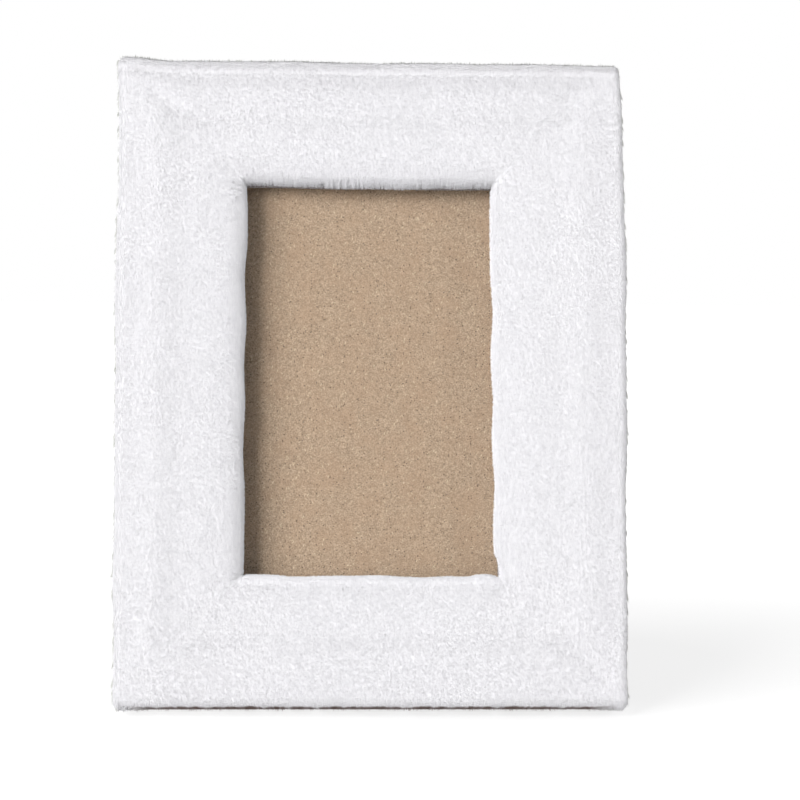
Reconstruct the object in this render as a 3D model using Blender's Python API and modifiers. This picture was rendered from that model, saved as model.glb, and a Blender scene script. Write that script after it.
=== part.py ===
"""Padded plush photo frame for a 10 x 15 cm print, standing on its easel leg.

Metres, +Z up, +X to the viewer's right and +Y behind the frame. The frame is built upright in its own
axes, x across, y from the front to the back and z up its face, below an empty that leans it back. The
leg is built hanging straight down from its hinge, below a second empty that swings it open.
"""

import math

import bmesh
import bpy
from mathutils import Vector

# Clearances
FIT = 0.0003  # between pieces that touch
SLIP = 0.0006  # round the pane and the board, on each side
RUNNING_GAP = 0.0001  # between the hinge pin and its eyes
GLUE = 0.0002  # under a sheet that is glued down

# The opening and its rails
OPENING_WIDTH = 0.088
OPENING_HEIGHT = 0.140
RAIL_WIDTH = 0.046
CORNER_RADIUS = 0.0035
OPENING_CORNER_RADIUS = 0.0012

# What lies in the rebate
PANE_WIDTH = 0.102
PANE_HEIGHT = 0.152
PANE_THICKNESS = 0.0015
PRINT_ROOM = 0.0005
BOARD_THICKNESS = 0.0025
CORE_THICKNESS = 0.0025

# Plush and padding
COVER_THICKNESS = 0.0025
TURNED_THICKNESS = 0.0012  # plush pressed flat where it is glued down
OUTER_TURN = 0.016  # how far the plush comes round onto the back
PAD_THICKNESS = 0.007
PAD_EDGE = 0.0012  # the pad, squeezed thin at the opening
CROWN = 0.0008
ROLL_WIDTH = 0.021  # the part of a rail that rolls down into the opening
SIDE_RADIUS = 0.006
REAR_RADIUS = 0.002
FLAT_DEPTH = 0.0005  # how deep the plush is pressed flat where it rests

# Linings
LINING_THICKNESS = 0.0006
LINER_MARGIN = 0.005
LINER_RAMP = 0.003
LINING_MARGIN = 0.001

# How it stands
LEAN = math.radians(15.0)
LEG_OPEN = math.radians(25.0)
HINGE_ON_BOARD = 0.120  # from the board's lower edge up to the pin

# Easel leg
LEG_THICKNESS = 0.0025
LEG_TOP_WIDTH = 0.036
LEG_FOOT_WIDTH = 0.060
LEG_TOP_RADIUS = 0.006
LEG_FOOT_RADIUS = 0.003
LEG_HEAD_GAP = 0.0005

# Strut hinge
PIN_RADIUS = 0.00125
PIN_HEAD_RADIUS = 0.0018
PIN_HEAD_LENGTH = 0.0006
LEAF_THICKNESS = 0.0008
LEAF_WIDTH = 0.030
LEAF_LENGTH = 0.016
LEAF_CORNER = 0.003
MIDDLE_EYE_WIDTH = 0.0148
EYE_GAP = 0.0002
TONGUE_WIDTH = 0.008
TONGUE_REST = 0.00015  # between the stop tongue and the leaf that it rests on
JOGGLE_LENGTH = 0.0025
HOLE_SPACING = 0.018
HOLE_DISTANCE = 0.0105  # from the pin to the fasteners of each leaf

# Fasteners
SCREW_RADIUS = 0.0012
SCREW_HEAD_RADIUS = 0.0026
SCREW_HEAD_HEIGHT = 0.0013
SCREW_BITE = 0.0019
BORE_GAP = 0.00015
RIVET_RADIUS = 0.0013
RIVET_HEAD_RADIUS = 0.0027
RIVET_HEAD_HEIGHT = 0.0010
RIVET_FLARE_RADIUS = 0.0022
RIVET_FLARE_DEPTH = 0.0008

# Turn-buttons
BUTTON_PIVOT_RADIUS = 0.0045
BUTTON_TIP_RADIUS = 0.0030
BUTTON_REACH = 0.0130
BUTTON_THICKNESS = 0.0010
BUTTON_SETBACK = 0.0080  # from the edge of the rebate to the pivot
BUTTON_SPACING = 0.076
BUTTON_SCREW_BITE = 0.0050
BUTTON_LIFT = 0.0014  # how far the tip is turned up for a fingernail
BUTTON_BEND = 0.0040  # the length of that bend, up to the tip

# Fineness
CORNER_STEPS = 4
ROLL_STEPS = 7
EDGE_STEPS = 4
ROUND_STEPS = 24

# Levels from the front face of the core ring to the back, in the frame's own y
CORE_BACK = CORE_THICKNESS
INNER_TURN_BACK = CORE_BACK + FIT + TURNED_THICKNESS
PANE_FRONT = INNER_TURN_BACK + FIT
PANE_BACK = PANE_FRONT + PANE_THICKNESS
BOARD_FRONT = PANE_BACK + PRINT_ROOM
BOARD_BACK = BOARD_FRONT + BOARD_THICKNESS
REBATE_FRONT = CORE_BACK + FIT
COVER_BACK = BOARD_BACK + FIT + TURNED_THICKNESS
LINING_BACK = BOARD_BACK + FIT + LINING_THICKNESS
LINER_BACK = COVER_BACK + FIT + LINING_THICKNESS
ROLL_END = -PAD_EDGE
COVER_FRONT = -(2 * FIT + PAD_THICKNESS + COVER_THICKNESS)

# Sizes across the face
OUTER_WIDTH = OPENING_WIDTH + 2 * RAIL_WIDTH
OUTER_HEIGHT = OPENING_HEIGHT + 2 * RAIL_WIDTH
MIDDLE_HEIGHT = OUTER_HEIGHT / 2
WRAP = COVER_THICKNESS + FIT
REBATE_WIDTH = PANE_WIDTH + 2 * SLIP
REBATE_HEIGHT = PANE_HEIGHT + 2 * SLIP
REBATE_INSET = min(OUTER_WIDTH - REBATE_WIDTH, OUTER_HEIGHT - REBATE_HEIGHT) / 2
INNER_TURN_INSET = max(OUTER_WIDTH - REBATE_WIDTH, OUTER_HEIGHT - REBATE_HEIGHT) / 2 + FIT
HINGE_HEIGHT = MIDDLE_HEIGHT - PANE_HEIGHT / 2 + HINGE_ON_BOARD

# The hinge pin stands far enough out for its eyes and for the leg folded on the liner
EYE_RADIUS = PIN_RADIUS + RUNNING_GAP + LEAF_THICKNESS
LEG_STACK = LEG_THICKNESS + GLUE + LINING_THICKNESS + FIT + LEAF_THICKNESS
PIN_Y = max(LINER_BACK + FIT + LEG_STACK - EYE_RADIUS, LINING_BACK + FIT + EYE_RADIUS)
LEG_REAR = EYE_RADIUS - LEAF_THICKNESS - FIT - LINING_THICKNESS - GLUE
LEG_FRONT = LEG_REAR - LEG_THICKNESS
LEG_HEAD = EYE_RADIUS + LEG_HEAD_GAP

# The frame's own origin above the floor, with its lower rear edge pressed into it
FRAME_RISE = (
    (COVER_BACK - REAR_RADIUS) * math.sin(LEAN)
    + REAR_RADIUS * (1 - math.cos(LEAN))
    - FLAT_DEPTH
)
PIN_RISE = FRAME_RISE + HINGE_HEIGHT * math.cos(LEAN) - PIN_Y * math.sin(LEAN)
LEG_TILT = LEG_OPEN - LEAN
LEG_LENGTH = (PIN_RISE + max(LEG_REAR, LEG_FRONT) * math.sin(LEG_TILT)) / math.cos(LEG_TILT)

# Turns of a piece drawn in its own XY
ON_FACE = (math.radians(90), 0.0, 0.0)  # drawn in x and z
IN_SECTION = (math.radians(90), 0.0, math.radians(90))  # drawn in y and z
OUT_OF_BACK = (math.radians(-90), 0.0, 0.0)  # its Z out of the back
OUT_OF_BACK_TURNED = (math.radians(-90), math.radians(180), 0.0)  # the same, facing the other way
ALONG_PIN = (0.0, math.radians(90), 0.0)  # turned about x


def clear_scene():
    for obj in list(bpy.data.objects):
        bpy.data.objects.remove(obj, do_unlink=True)


def new_collection(name):
    collection = bpy.data.collections.new(name)
    bpy.context.scene.collection.children.link(collection)
    return collection


def finish(name, colour, roughness, metallic=0.0, alpha=1.0):
    material = bpy.data.materials.new(name)
    material.use_nodes = True
    shader = material.node_tree.nodes["Principled BSDF"]
    shader.inputs["Base Color"].default_value = (*colour, 1.0)
    shader.inputs["Roughness"].default_value = roughness
    shader.inputs["Metallic"].default_value = metallic
    shader.inputs["Alpha"].default_value = alpha
    return material


def place(obj, collection, parent, location, rotation=(0.0, 0.0, 0.0)):
    obj.parent = parent
    obj.location = location
    obj.rotation_euler = rotation
    collection.objects.link(obj)
    return obj


def empty(name, collection, parent, location, rotation):
    return place(bpy.data.objects.new(name, None), collection, parent, location, rotation)


# Outlines

def arc(centre, radius, start, end, steps):
    """Points from one angle to another, in degrees. The radius is one number or one for each axis."""
    across, up = radius if isinstance(radius, tuple) else (radius, radius)
    angles = [math.radians(start + (end - start) * i / steps) for i in range(steps + 1)]
    return [(centre[0] + across * math.cos(a), centre[1] + up * math.sin(a)) for a in angles]


def circle(radius, steps=ROUND_STEPS):
    return arc((0.0, 0.0), radius, 0.0, 360.0, steps)[:-1]


def rounded_rectangle(width, height, radius):
    x, y = width / 2 - radius, height / 2 - radius
    corners = (((x, y), 0.0), ((-x, y), 90.0), ((-x, -y), 180.0), ((x, -y), 270.0))
    loop = []
    for centre, start in corners:
        loop += arc(centre, radius, start, start + 90.0, CORNER_STEPS)
    return loop


def frame_loop(inset):
    """A rectangle that lies this far in from the frame's outer edge all round."""
    radius = max(CORNER_RADIUS - inset, OPENING_CORNER_RADIUS)
    return rounded_rectangle(OUTER_WIDTH - 2 * inset, OUTER_HEIGHT - 2 * inset, radius)


def tapered(top, bottom, top_width, bottom_width, top_radius, bottom_radius):
    """A leg's outline, straight-sided between rounded corners, from z = top down to z = bottom."""
    lean = math.degrees(math.atan2((bottom_width - top_width) / 2, top - bottom))
    top_x = top_width / 2 - top_radius * math.tan(math.radians(45 + lean / 2))
    foot_x = bottom_width / 2 - bottom_radius / math.tan(math.radians(45 + lean / 2))
    right = arc((top_x, top - top_radius), top_radius, 90.0, lean, EDGE_STEPS)
    right += arc((foot_x, bottom + bottom_radius), bottom_radius, lean, -90.0, EDGE_STEPS)
    return right + [(-x, z) for x, z in reversed(right)]


def teardrop(big, small, distance):
    """Two circles and the straight sides that join them, the small one at +X."""
    side = math.degrees(math.acos((big - small) / distance))
    outline = arc((0.0, 0.0), big, side, 360.0 - side, ROUND_STEPS // 2)
    return outline + arc((distance, 0.0), small, -side, side, ROUND_STEPS // 3)


# Solids

def mesh_from(bm, name):
    bmesh.ops.recalc_face_normals(bm, faces=bm.faces)
    mesh = bpy.data.meshes.new(name)
    bm.to_mesh(mesh)
    bm.free()
    return mesh


def extruded(name, outlines, depth):
    """A mesh from flat outlines in XY, the first its edge and the rest its holes, about Z = 0."""
    curve = bpy.data.curves.new(name, "CURVE")
    curve.dimensions = "2D"
    curve.fill_mode = "BOTH"
    curve.extrude = depth / 2
    for outline in outlines:
        spline = curve.splines.new("POLY")
        spline.points.add(len(outline) - 1)
        for point, (x, y) in zip(spline.points, outline):
            point.co = (x, y, 0.0, 1.0)
        spline.use_cyclic_u = True
    drawn = bpy.data.objects.new(name, curve)
    bpy.context.scene.collection.objects.link(drawn)
    graph = bpy.context.evaluated_depsgraph_get()
    mesh = bpy.data.meshes.new_from_object(drawn.evaluated_get(graph))
    bpy.data.objects.remove(drawn)
    bpy.data.curves.remove(curve)
    bm = bmesh.new()
    bm.from_mesh(mesh)
    bpy.data.meshes.remove(mesh)
    bmesh.ops.remove_doubles(bm, verts=bm.verts, dist=1e-7)
    return mesh_from(bm, name)


def bent_up(mesh, start, length, lift, steps):
    """Bends a flat piece up past X = start, over a stretch of this length."""
    bm = bmesh.new()
    bm.from_mesh(mesh)
    bpy.data.meshes.remove(mesh)
    for i in range(steps):
        line = (start + length * i / steps, 0.0, 0.0)
        everything = bm.verts[:] + bm.edges[:] + bm.faces[:]
        bmesh.ops.bisect_plane(bm, geom=everything, plane_co=line, plane_no=(1.0, 0.0, 0.0), dist=1e-7)
    for vertex in bm.verts:
        share = max(0.0, vertex.co.x - start) / length
        vertex.co.z += lift * share * share
    return mesh_from(bm, "bent")


def lofted_round(name, section):
    """A section of (inset, y) points carried round the frame, mitred at its corners."""
    bm = bmesh.new()
    rings = []
    for inset, y in section:
        loop = frame_loop(inset)
        rings.append([bm.verts.new((x, y, MIDDLE_HEIGHT + z)) for x, z in loop])
    for ring, after in zip(rings, rings[1:] + rings[:1]):
        for i in range(len(ring)):
            j = (i + 1) % len(ring)
            bm.faces.new((ring[i], ring[j], after[j], after[i]))
    return mesh_from(bm, name)


def turned(name, profile, material, collection, parent, location, rotation):
    """A turned piece: its profile runs down the outer side from the axis back to the axis."""
    mesh = bpy.data.meshes.new(name)
    edges = [(i, i + 1) for i in range(len(profile) - 1)]
    mesh.from_pydata([(r, 0.0, z) for r, z in profile], edges, [])
    mesh.materials.append(material)
    obj = place(bpy.data.objects.new(name, mesh), collection, parent, location, rotation)
    screw = obj.modifiers.new("Turn", "SCREW")
    screw.steps = ROUND_STEPS
    screw.render_steps = ROUND_STEPS
    screw.use_merge_vertices = True
    screw.merge_threshold = 1e-6
    screw.use_smooth_shade = False
    return obj


def piece(name, mesh, material, collection, parent, location=(0.0, 0.0, 0.0), rotation=(0.0, 0.0, 0.0)):
    mesh.materials.append(material)
    mesh.shade_smooth()
    mesh.set_sharp_from_angle(angle=math.radians(35))
    return place(bpy.data.objects.new(name, mesh), collection, parent, location, rotation)


# Cutters

def as_cutter(obj):
    obj.hide_render = True
    obj.display_type = "WIRE"
    return obj


def round_cutter(name, radius, near, far, collection, parent, x, z):
    """A cylinder along the frame's y, from near to far."""
    bm = bmesh.new()
    bmesh.ops.create_cone(
        bm, cap_ends=True, segments=ROUND_STEPS, radius1=radius, radius2=radius, depth=far - near
    )
    obj = bpy.data.objects.new(name, mesh_from(bm, name))
    return as_cutter(place(obj, collection, parent, (x, (near + far) / 2, z), OUT_OF_BACK))


def box_cutter(name, low, high, collection, parent):
    bm = bmesh.new()
    bmesh.ops.create_cube(bm, size=1.0)
    low, high = Vector(low), Vector(high)
    bmesh.ops.scale(bm, vec=high - low, verts=bm.verts)
    obj = bpy.data.objects.new(name, mesh_from(bm, name))
    return as_cutter(place(obj, collection, parent, (low + high) / 2))


def cut(obj, cutter):
    boolean = obj.modifiers.new("Cut " + cutter.name, "BOOLEAN")
    boolean.operation = "DIFFERENCE"
    boolean.object = cutter


# Plush, pad and boards

def padded_profile(depth):
    """The padded rail's front, this deep below the plush, from its outer side to the opening."""
    points = arc((SIDE_RADIUS, COVER_FRONT + SIDE_RADIUS), SIDE_RADIUS - depth, 180.0, 270.0, EDGE_STEPS)
    flat = RAIL_WIDTH - ROLL_WIDTH - SIDE_RADIUS
    for share in (0.3, 0.7):
        rise = CROWN * math.sin(math.pi * share)
        points.append((SIDE_RADIUS + flat * share, COVER_FRONT + depth - rise))
    radii = (ROLL_WIDTH - depth, ROLL_END - COVER_FRONT - depth)
    points += arc((RAIL_WIDTH - ROLL_WIDTH, ROLL_END), radii, 270.0, 360.0, ROLL_STEPS)
    return points


def plush_section():
    """The plush from its edge on the back, round the outer side, over the front and into the rebate."""
    outside = [(OUTER_TURN, COVER_BACK)]
    outside += arc((REAR_RADIUS, COVER_BACK - REAR_RADIUS), REAR_RADIUS, 90.0, 180.0, EDGE_STEPS)
    outside += padded_profile(0.0)
    outside += [(RAIL_WIDTH, INNER_TURN_BACK), (INNER_TURN_INSET, INNER_TURN_BACK)]
    inside = [(INNER_TURN_INSET, CORE_BACK + FIT), (RAIL_WIDTH - COVER_THICKNESS, CORE_BACK + FIT)]
    inside += reversed(padded_profile(COVER_THICKNESS))
    inside += [(COVER_THICKNESS, BOARD_BACK + FIT), (OUTER_TURN, BOARD_BACK + FIT)]
    return outside + inside


def liner_section():
    """The lining ring, which steps down off the plush onto the fibreboard."""
    step_end = OUTER_TURN + FIT + LINER_RAMP
    front = [
        (LINER_MARGIN, COVER_BACK + FIT),
        (OUTER_TURN + FIT, COVER_BACK + FIT),
        (step_end, BOARD_BACK + FIT),
        (REBATE_INSET - FIT, BOARD_BACK + FIT),
    ]
    return front + [(inset, y + LINING_THICKNESS) for inset, y in reversed(front)]


def add_plush_and_pad(parts, frame, floor):
    plush = finish("plush", (0.87, 0.87, 0.90), 0.95)
    foam = finish("foam", (0.80, 0.78, 0.68), 0.9)
    cover = piece("plush_cover", lofted_round("plush_cover", plush_section()), plush, parts, frame)
    cut(cover, floor)
    pad = [(WRAP, -FIT)] + padded_profile(WRAP) + [(RAIL_WIDTH - WRAP, -FIT)]
    piece("foam_pad", lofted_round("foam_pad", pad), foam, parts, frame)


def flat_ring(name, opening, front, back, material, parts, frame):
    outlines = [frame_loop(WRAP), opening]
    middle = (0.0, (front + back) / 2, MIDDLE_HEIGHT)
    return piece(name, extruded(name, outlines, back - front), material, parts, frame, middle, ON_FACE)


def flat_panel(name, width, height, front, back, material, parts, frame):
    outline = rounded_rectangle(width, height, OPENING_CORNER_RADIUS)
    middle = (0.0, (front + back) / 2, MIDDLE_HEIGHT)
    return piece(name, extruded(name, [outline], back - front), material, parts, frame, middle, ON_FACE)


def add_boards(parts, frame, fibreboard, velour):
    """The rings, the pane, the back board and the linings. Returns what fasteners go into."""
    flat_ring("core_ring", frame_loop(RAIL_WIDTH - WRAP), 0.0, CORE_BACK, fibreboard, parts, frame)
    opening = rounded_rectangle(REBATE_WIDTH, REBATE_HEIGHT, OPENING_CORNER_RADIUS)
    rebate = flat_ring("rebate_ring", opening, REBATE_FRONT, BOARD_BACK, fibreboard, parts, frame)
    liner = piece("back_liner", lofted_round("back_liner", liner_section()), velour, parts, frame)
    glass = finish("clear_glass", (0.9, 0.95, 0.93), 0.03, alpha=0.2)
    flat_panel("glass_pane", PANE_WIDTH, PANE_HEIGHT, PANE_FRONT, PANE_BACK, glass, parts, frame)
    board = flat_panel(
        "back_board", PANE_WIDTH, PANE_HEIGHT, BOARD_FRONT, BOARD_BACK, fibreboard, parts, frame
    )
    lining = flat_panel(
        "board_lining", PANE_WIDTH - 2 * LINING_MARGIN, PANE_HEIGHT - 2 * LINING_MARGIN,
        BOARD_BACK + FIT, LINING_BACK, velour, parts, frame,
    )
    return rebate, liner, board, lining


# Fasteners

def domed_profile(head_radius, head_height, shank_radius, shank_length, tip):
    """A domed head that sits on z = 0 over a shank with a short taper at its end."""
    head = arc((0.0, 0.0), (head_radius, head_height), 90.0, 0.0, EDGE_STEPS)
    return [
        *head,
        (shank_radius, 0.0),
        (shank_radius, tip - shank_length),
        (shank_radius * 0.4, -shank_length),
        (0.0, -shank_length),
    ]


def add_turn_buttons(parts, cutters, frame, rebate, liner, steel):
    """Two buttons on each long side. Each turns about its own origin, on its screw."""
    pivot_x = REBATE_WIDTH / 2 + BUTTON_SETBACK
    seat = BOARD_BACK + FIT + LINING_THICKNESS + FIT
    rest = seat + BUTTON_THICKNESS / 2
    head = seat + BUTTON_THICKNESS + FIT
    bite = head - BOARD_BACK + BUTTON_SCREW_BITE
    outline = teardrop(BUTTON_PIVOT_RADIUS, BUTTON_TIP_RADIUS, BUTTON_REACH)
    outlines = [outline, circle(SCREW_RADIUS + BORE_GAP)]
    profile = domed_profile(SCREW_HEAD_RADIUS, SCREW_HEAD_HEIGHT, SCREW_RADIUS, bite, SCREW_RADIUS)
    tip = BUTTON_REACH + BUTTON_TIP_RADIUS
    for side, side_name in ((-1, "left"), (1, "right")):
        for level, level_name in ((-1, "lower"), (1, "upper")):
            x, z = side * pivot_x, MIDDLE_HEIGHT + level * BUTTON_SPACING / 2
            where = level_name + "_" + side_name
            inward = OUT_OF_BACK if side < 0 else OUT_OF_BACK_TURNED
            flat = extruded("turn_button", outlines, BUTTON_THICKNESS)
            mesh = bent_up(flat, tip - BUTTON_BEND, BUTTON_BEND, BUTTON_LIFT, EDGE_STEPS)
            piece("turn_button_" + where, mesh, steel, parts, frame, (x, rest, z), inward)
            turned("button_screw_" + where, profile, steel, parts, frame, (x, head, z), OUT_OF_BACK)
            bore = round_cutter(
                "button_bore_" + where, SCREW_RADIUS + BORE_GAP, head - bite - FIT, head + FIT,
                cutters, frame, x, z,
            )
            cut(liner, bore)
            cut(rebate, bore)


# Strut hinge and leg

def upper_leaf_outline():
    """In y and z from the pin: the eye, then a joggle down to the plate on the board."""
    near = -EYE_RADIUS
    drop = PIN_Y - EYE_RADIUS - FIT - LINING_BACK
    joggle = EYE_RADIUS + FIT
    meet = math.degrees(math.acos((EYE_RADIUS - LEAF_THICKNESS) / EYE_RADIUS))
    outline = [
        (near, joggle),
        (near - drop, joggle + JOGGLE_LENGTH),
        (near - drop, LEAF_LENGTH),
        (near - drop + LEAF_THICKNESS, LEAF_LENGTH),
        (near - drop + LEAF_THICKNESS, joggle + JOGGLE_LENGTH),
        (near + LEAF_THICKNESS, joggle),
    ]
    return outline + arc((0.0, 0.0), EYE_RADIUS, 180.0 - meet, -180.0, ROUND_STEPS)


def tongue_length():
    """How far the stop tongue reaches past the pin to rest on the plate when the leg is open."""
    stand_off = PIN_Y - FIT - LINING_BACK - LEAF_THICKNESS - TONGUE_REST
    inner = EYE_RADIUS - LEAF_THICKNESS
    return (inner * math.cos(LEG_OPEN) + stand_off) / math.sin(LEG_OPEN)


def lower_leaf_outline():
    """In y and z from the pin: the plate on the leg, the eye, and the stop tongue past the pin."""
    far = EYE_RADIUS
    meet = math.degrees(math.acos((EYE_RADIUS - LEAF_THICKNESS) / EYE_RADIUS))
    outline = [
        (far - LEAF_THICKNESS, tongue_length()),
        (far, tongue_length()),
        (far, -LEAF_LENGTH),
        (far - LEAF_THICKNESS, -LEAF_LENGTH),
    ]
    return outline + arc((0.0, 0.0), EYE_RADIUS, -meet, -360.0 + meet, ROUND_STEPS)


def leaf_mesh(name, outline, far_end):
    """A leaf pressed from strip, with its far corners rounded."""
    mesh = extruded(name, [outline, circle(PIN_RADIUS + RUNNING_GAP)], LEAF_WIDTH)
    bm = bmesh.new()
    bm.from_mesh(mesh)
    bpy.data.meshes.remove(mesh)
    corners = [
        edge for edge in bm.edges
        if all(abs(v.co.y - far_end) < 1e-6 for v in edge.verts)
        and abs(edge.verts[0].co.z - edge.verts[1].co.z) < 1e-6
        and abs(edge.verts[0].co.z) > LEAF_WIDTH / 2 - 1e-6
    ]
    bmesh.ops.bevel(bm, geom=corners, offset=LEAF_CORNER, segments=EDGE_STEPS, profile=0.5, affect="EDGES")
    return mesh_from(bm, name)


def add_upper_leaf(parts, cutters, frame, board, lining, steel):
    pin = (0.0, PIN_Y, HINGE_HEIGHT)
    leaf = piece(
        "hinge_upper_leaf", leaf_mesh("hinge_upper_leaf", upper_leaf_outline(), LEAF_LENGTH), steel,
        parts, frame, pin, IN_SECTION,
    )
    half = MIDDLE_EYE_WIDTH / 2 + EYE_GAP
    notch = box_cutter(
        "middle_notch",
        (-half, PIN_Y - 2 * EYE_RADIUS, HINGE_HEIGHT - 2 * EYE_RADIUS),
        (half, PIN_Y + 2 * EYE_RADIUS, HINGE_HEIGHT + EYE_RADIUS + FIT),
        cutters, frame,
    )
    cut(leaf, notch)
    seat = LINING_BACK + FIT + LEAF_THICKNESS + FIT
    length = seat - BOARD_BACK + SCREW_BITE
    profile = domed_profile(SCREW_HEAD_RADIUS, SCREW_HEAD_HEIGHT, SCREW_RADIUS, length, SCREW_RADIUS / 2)
    for side, side_name in ((-1, "left"), (1, "right")):
        x, z = side * HOLE_SPACING / 2, HINGE_HEIGHT + HOLE_DISTANCE
        turned("hinge_screw_" + side_name, profile, steel, parts, frame, (x, seat, z), OUT_OF_BACK)
        bore = round_cutter(
            "screw_bore_" + side_name, SCREW_RADIUS + BORE_GAP, seat - length - BORE_GAP, seat + FIT,
            cutters, frame, x, z,
        )
        for pierced in (leaf, lining, board):
            cut(pierced, bore)


def add_lower_leaf(parts, cutters, swing, leg, lining, steel):
    leaf = piece(
        "hinge_lower_leaf", leaf_mesh("hinge_lower_leaf", lower_leaf_outline(), -LEAF_LENGTH), steel,
        parts, swing, (0.0, 0.0, 0.0), IN_SECTION,
    )
    top = tongue_length() + FIT
    clear = EYE_RADIUS + FIT
    for side, side_name in ((-1, "left"), (1, "right")):
        for name, near, low in (
            ("eye_notch_", MIDDLE_EYE_WIDTH / 2, -clear),
            ("tongue_notch_", TONGUE_WIDTH / 2, clear),
        ):
            xs = sorted((side * near, side * LEAF_WIDTH))
            corners = (xs[0], -2 * EYE_RADIUS, low), (xs[1], 2 * EYE_RADIUS, top)
            cut(leaf, box_cutter(name + side_name, *corners, cutters, swing))
    seat = EYE_RADIUS + FIT
    length = seat - LEG_FRONT
    profile = arc((0.0, 0.0), (RIVET_HEAD_RADIUS, RIVET_HEAD_HEIGHT), 90.0, 0.0, EDGE_STEPS)
    profile += [
        (RIVET_RADIUS, 0.0),
        (RIVET_RADIUS, RIVET_FLARE_DEPTH - FIT - length),
        (RIVET_FLARE_RADIUS, RIVET_FLARE_DEPTH - FIT - length),
        (RIVET_FLARE_RADIUS, -length),
        (0.0, -length),
    ]
    for side, side_name in ((-1, "left"), (1, "right")):
        x, z = side * HOLE_SPACING / 2, -HOLE_DISTANCE
        turned("leg_rivet_" + side_name, profile, steel, parts, swing, (x, seat, z), OUT_OF_BACK)
        bore = round_cutter(
            "rivet_bore_" + side_name, RIVET_RADIUS + BORE_GAP, LEG_FRONT - FIT, seat, cutters, swing, x, z
        )
        sink = round_cutter(
            "rivet_sink_" + side_name, RIVET_FLARE_RADIUS + BORE_GAP, LEG_FRONT - FIT,
            LEG_FRONT + RIVET_FLARE_DEPTH, cutters, swing, x, z,
        )
        for pierced in (leaf, lining, leg):
            cut(pierced, bore)
        cut(leg, sink)


def add_pin(parts, frame, steel):
    """The pin, kept in its eyes by a small head at each end."""
    end = LEAF_WIDTH / 2 + EYE_GAP
    profile = [
        (0.0, end + PIN_HEAD_LENGTH),
        (PIN_HEAD_RADIUS * 0.7, end + PIN_HEAD_LENGTH),
        (PIN_HEAD_RADIUS, end + PIN_HEAD_LENGTH / 2),
        (PIN_HEAD_RADIUS, end),
        (PIN_RADIUS, end),
    ]
    profile += [(r, -z) for r, z in reversed(profile)]
    turned("hinge_pin", profile, steel, parts, frame, (0.0, PIN_Y, HINGE_HEIGHT), ALONG_PIN)


def add_leg(parts, swing, floor, fibreboard, velour):
    """The tapered leg, with its foot cut level on the floor, and the lining on its rear face."""
    outline = tapered(
        -LEG_HEAD, -LEG_LENGTH, LEG_TOP_WIDTH, LEG_FOOT_WIDTH, LEG_TOP_RADIUS, LEG_FOOT_RADIUS
    )
    leg = piece(
        "easel_leg", extruded("easel_leg", [outline], LEG_THICKNESS), fibreboard, parts, swing,
        (0.0, (LEG_FRONT + LEG_REAR) / 2, 0.0), ON_FACE,
    )
    cut(leg, floor)
    margin = LINING_MARGIN
    foot_margin = margin + LEG_FOOT_RADIUS / 2
    sheet = tapered(
        -LEG_HEAD - margin, -LEG_LENGTH + foot_margin, LEG_TOP_WIDTH - 2 * margin,
        LEG_FOOT_WIDTH - 2 * margin, LEG_TOP_RADIUS - margin, LEG_FOOT_RADIUS,
    )
    lining = piece(
        "leg_lining", extruded("leg_lining", [sheet], LINING_THICKNESS), velour, parts, swing,
        (0.0, LEG_REAR + GLUE + LINING_THICKNESS / 2, 0.0), ON_FACE,
    )
    return leg, lining


def stand_on_origin(parts, frame):
    """Moves the frame along Y so that the world origin lies under the middle of the whole object."""
    graph = bpy.context.evaluated_depsgraph_get()
    ys = []
    for obj in parts.objects:
        if obj.type == "MESH":
            shown = obj.evaluated_get(graph)
            ys += [(shown.matrix_world @ Vector(corner)).y for corner in vertex_places(shown)]
    frame.location.y -= (min(ys) + max(ys)) / 2


def vertex_places(shown):
    mesh = shown.to_mesh()
    places = [tuple(vertex.co) for vertex in mesh.vertices]
    shown.to_mesh_clear()
    return places


def main():
    clear_scene()
    parts = new_collection("plush_photo_frame")
    cutters = new_collection("cutters")
    fibreboard = finish("fibreboard", (0.48, 0.35, 0.24), 0.8)
    velour = finish("charcoal_velour", (0.035, 0.035, 0.04), 0.9)
    steel = finish("zinc_plated_steel", (0.62, 0.62, 0.62), 0.35, metallic=1.0)
    floor = box_cutter("floor", (-0.5, -0.5, -0.1), (0.5, 0.5, 0.0), cutters, None)
    frame = empty("frame_axes", parts, None, (0.0, 0.0, FRAME_RISE), (-LEAN, 0.0, 0.0))
    swing = empty("leg_hinge", parts, frame, (0.0, PIN_Y, HINGE_HEIGHT), (LEG_OPEN, 0.0, 0.0))
    add_plush_and_pad(parts, frame, floor)
    rebate, liner, board, board_lining = add_boards(parts, frame, fibreboard, velour)
    add_turn_buttons(parts, cutters, frame, rebate, liner, steel)
    add_upper_leaf(parts, cutters, frame, board, board_lining, steel)
    add_pin(parts, frame, steel)
    leg, leg_lining = add_leg(parts, swing, floor, fibreboard, velour)
    add_lower_leaf(parts, cutters, swing, leg, leg_lining, steel)
    stand_on_origin(parts, frame)


main()
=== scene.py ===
"""Looks of a padded plush photo frame that stands on its easel leg.

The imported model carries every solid. This file gives each of them its finish
and builds what the solids leave out: the plush with its pile, the recessed
screws and rolled rivets, the studio and the camera. Metres, +Z up, with the
picture facing -Y.
"""

import logging
import math
from dataclasses import dataclass, field
from enum import Enum
from typing import Mapping, Optional, Sequence, Union

import bmesh
import bpy
import numpy as np
from mathutils import Euler, Matrix, Vector


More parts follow.
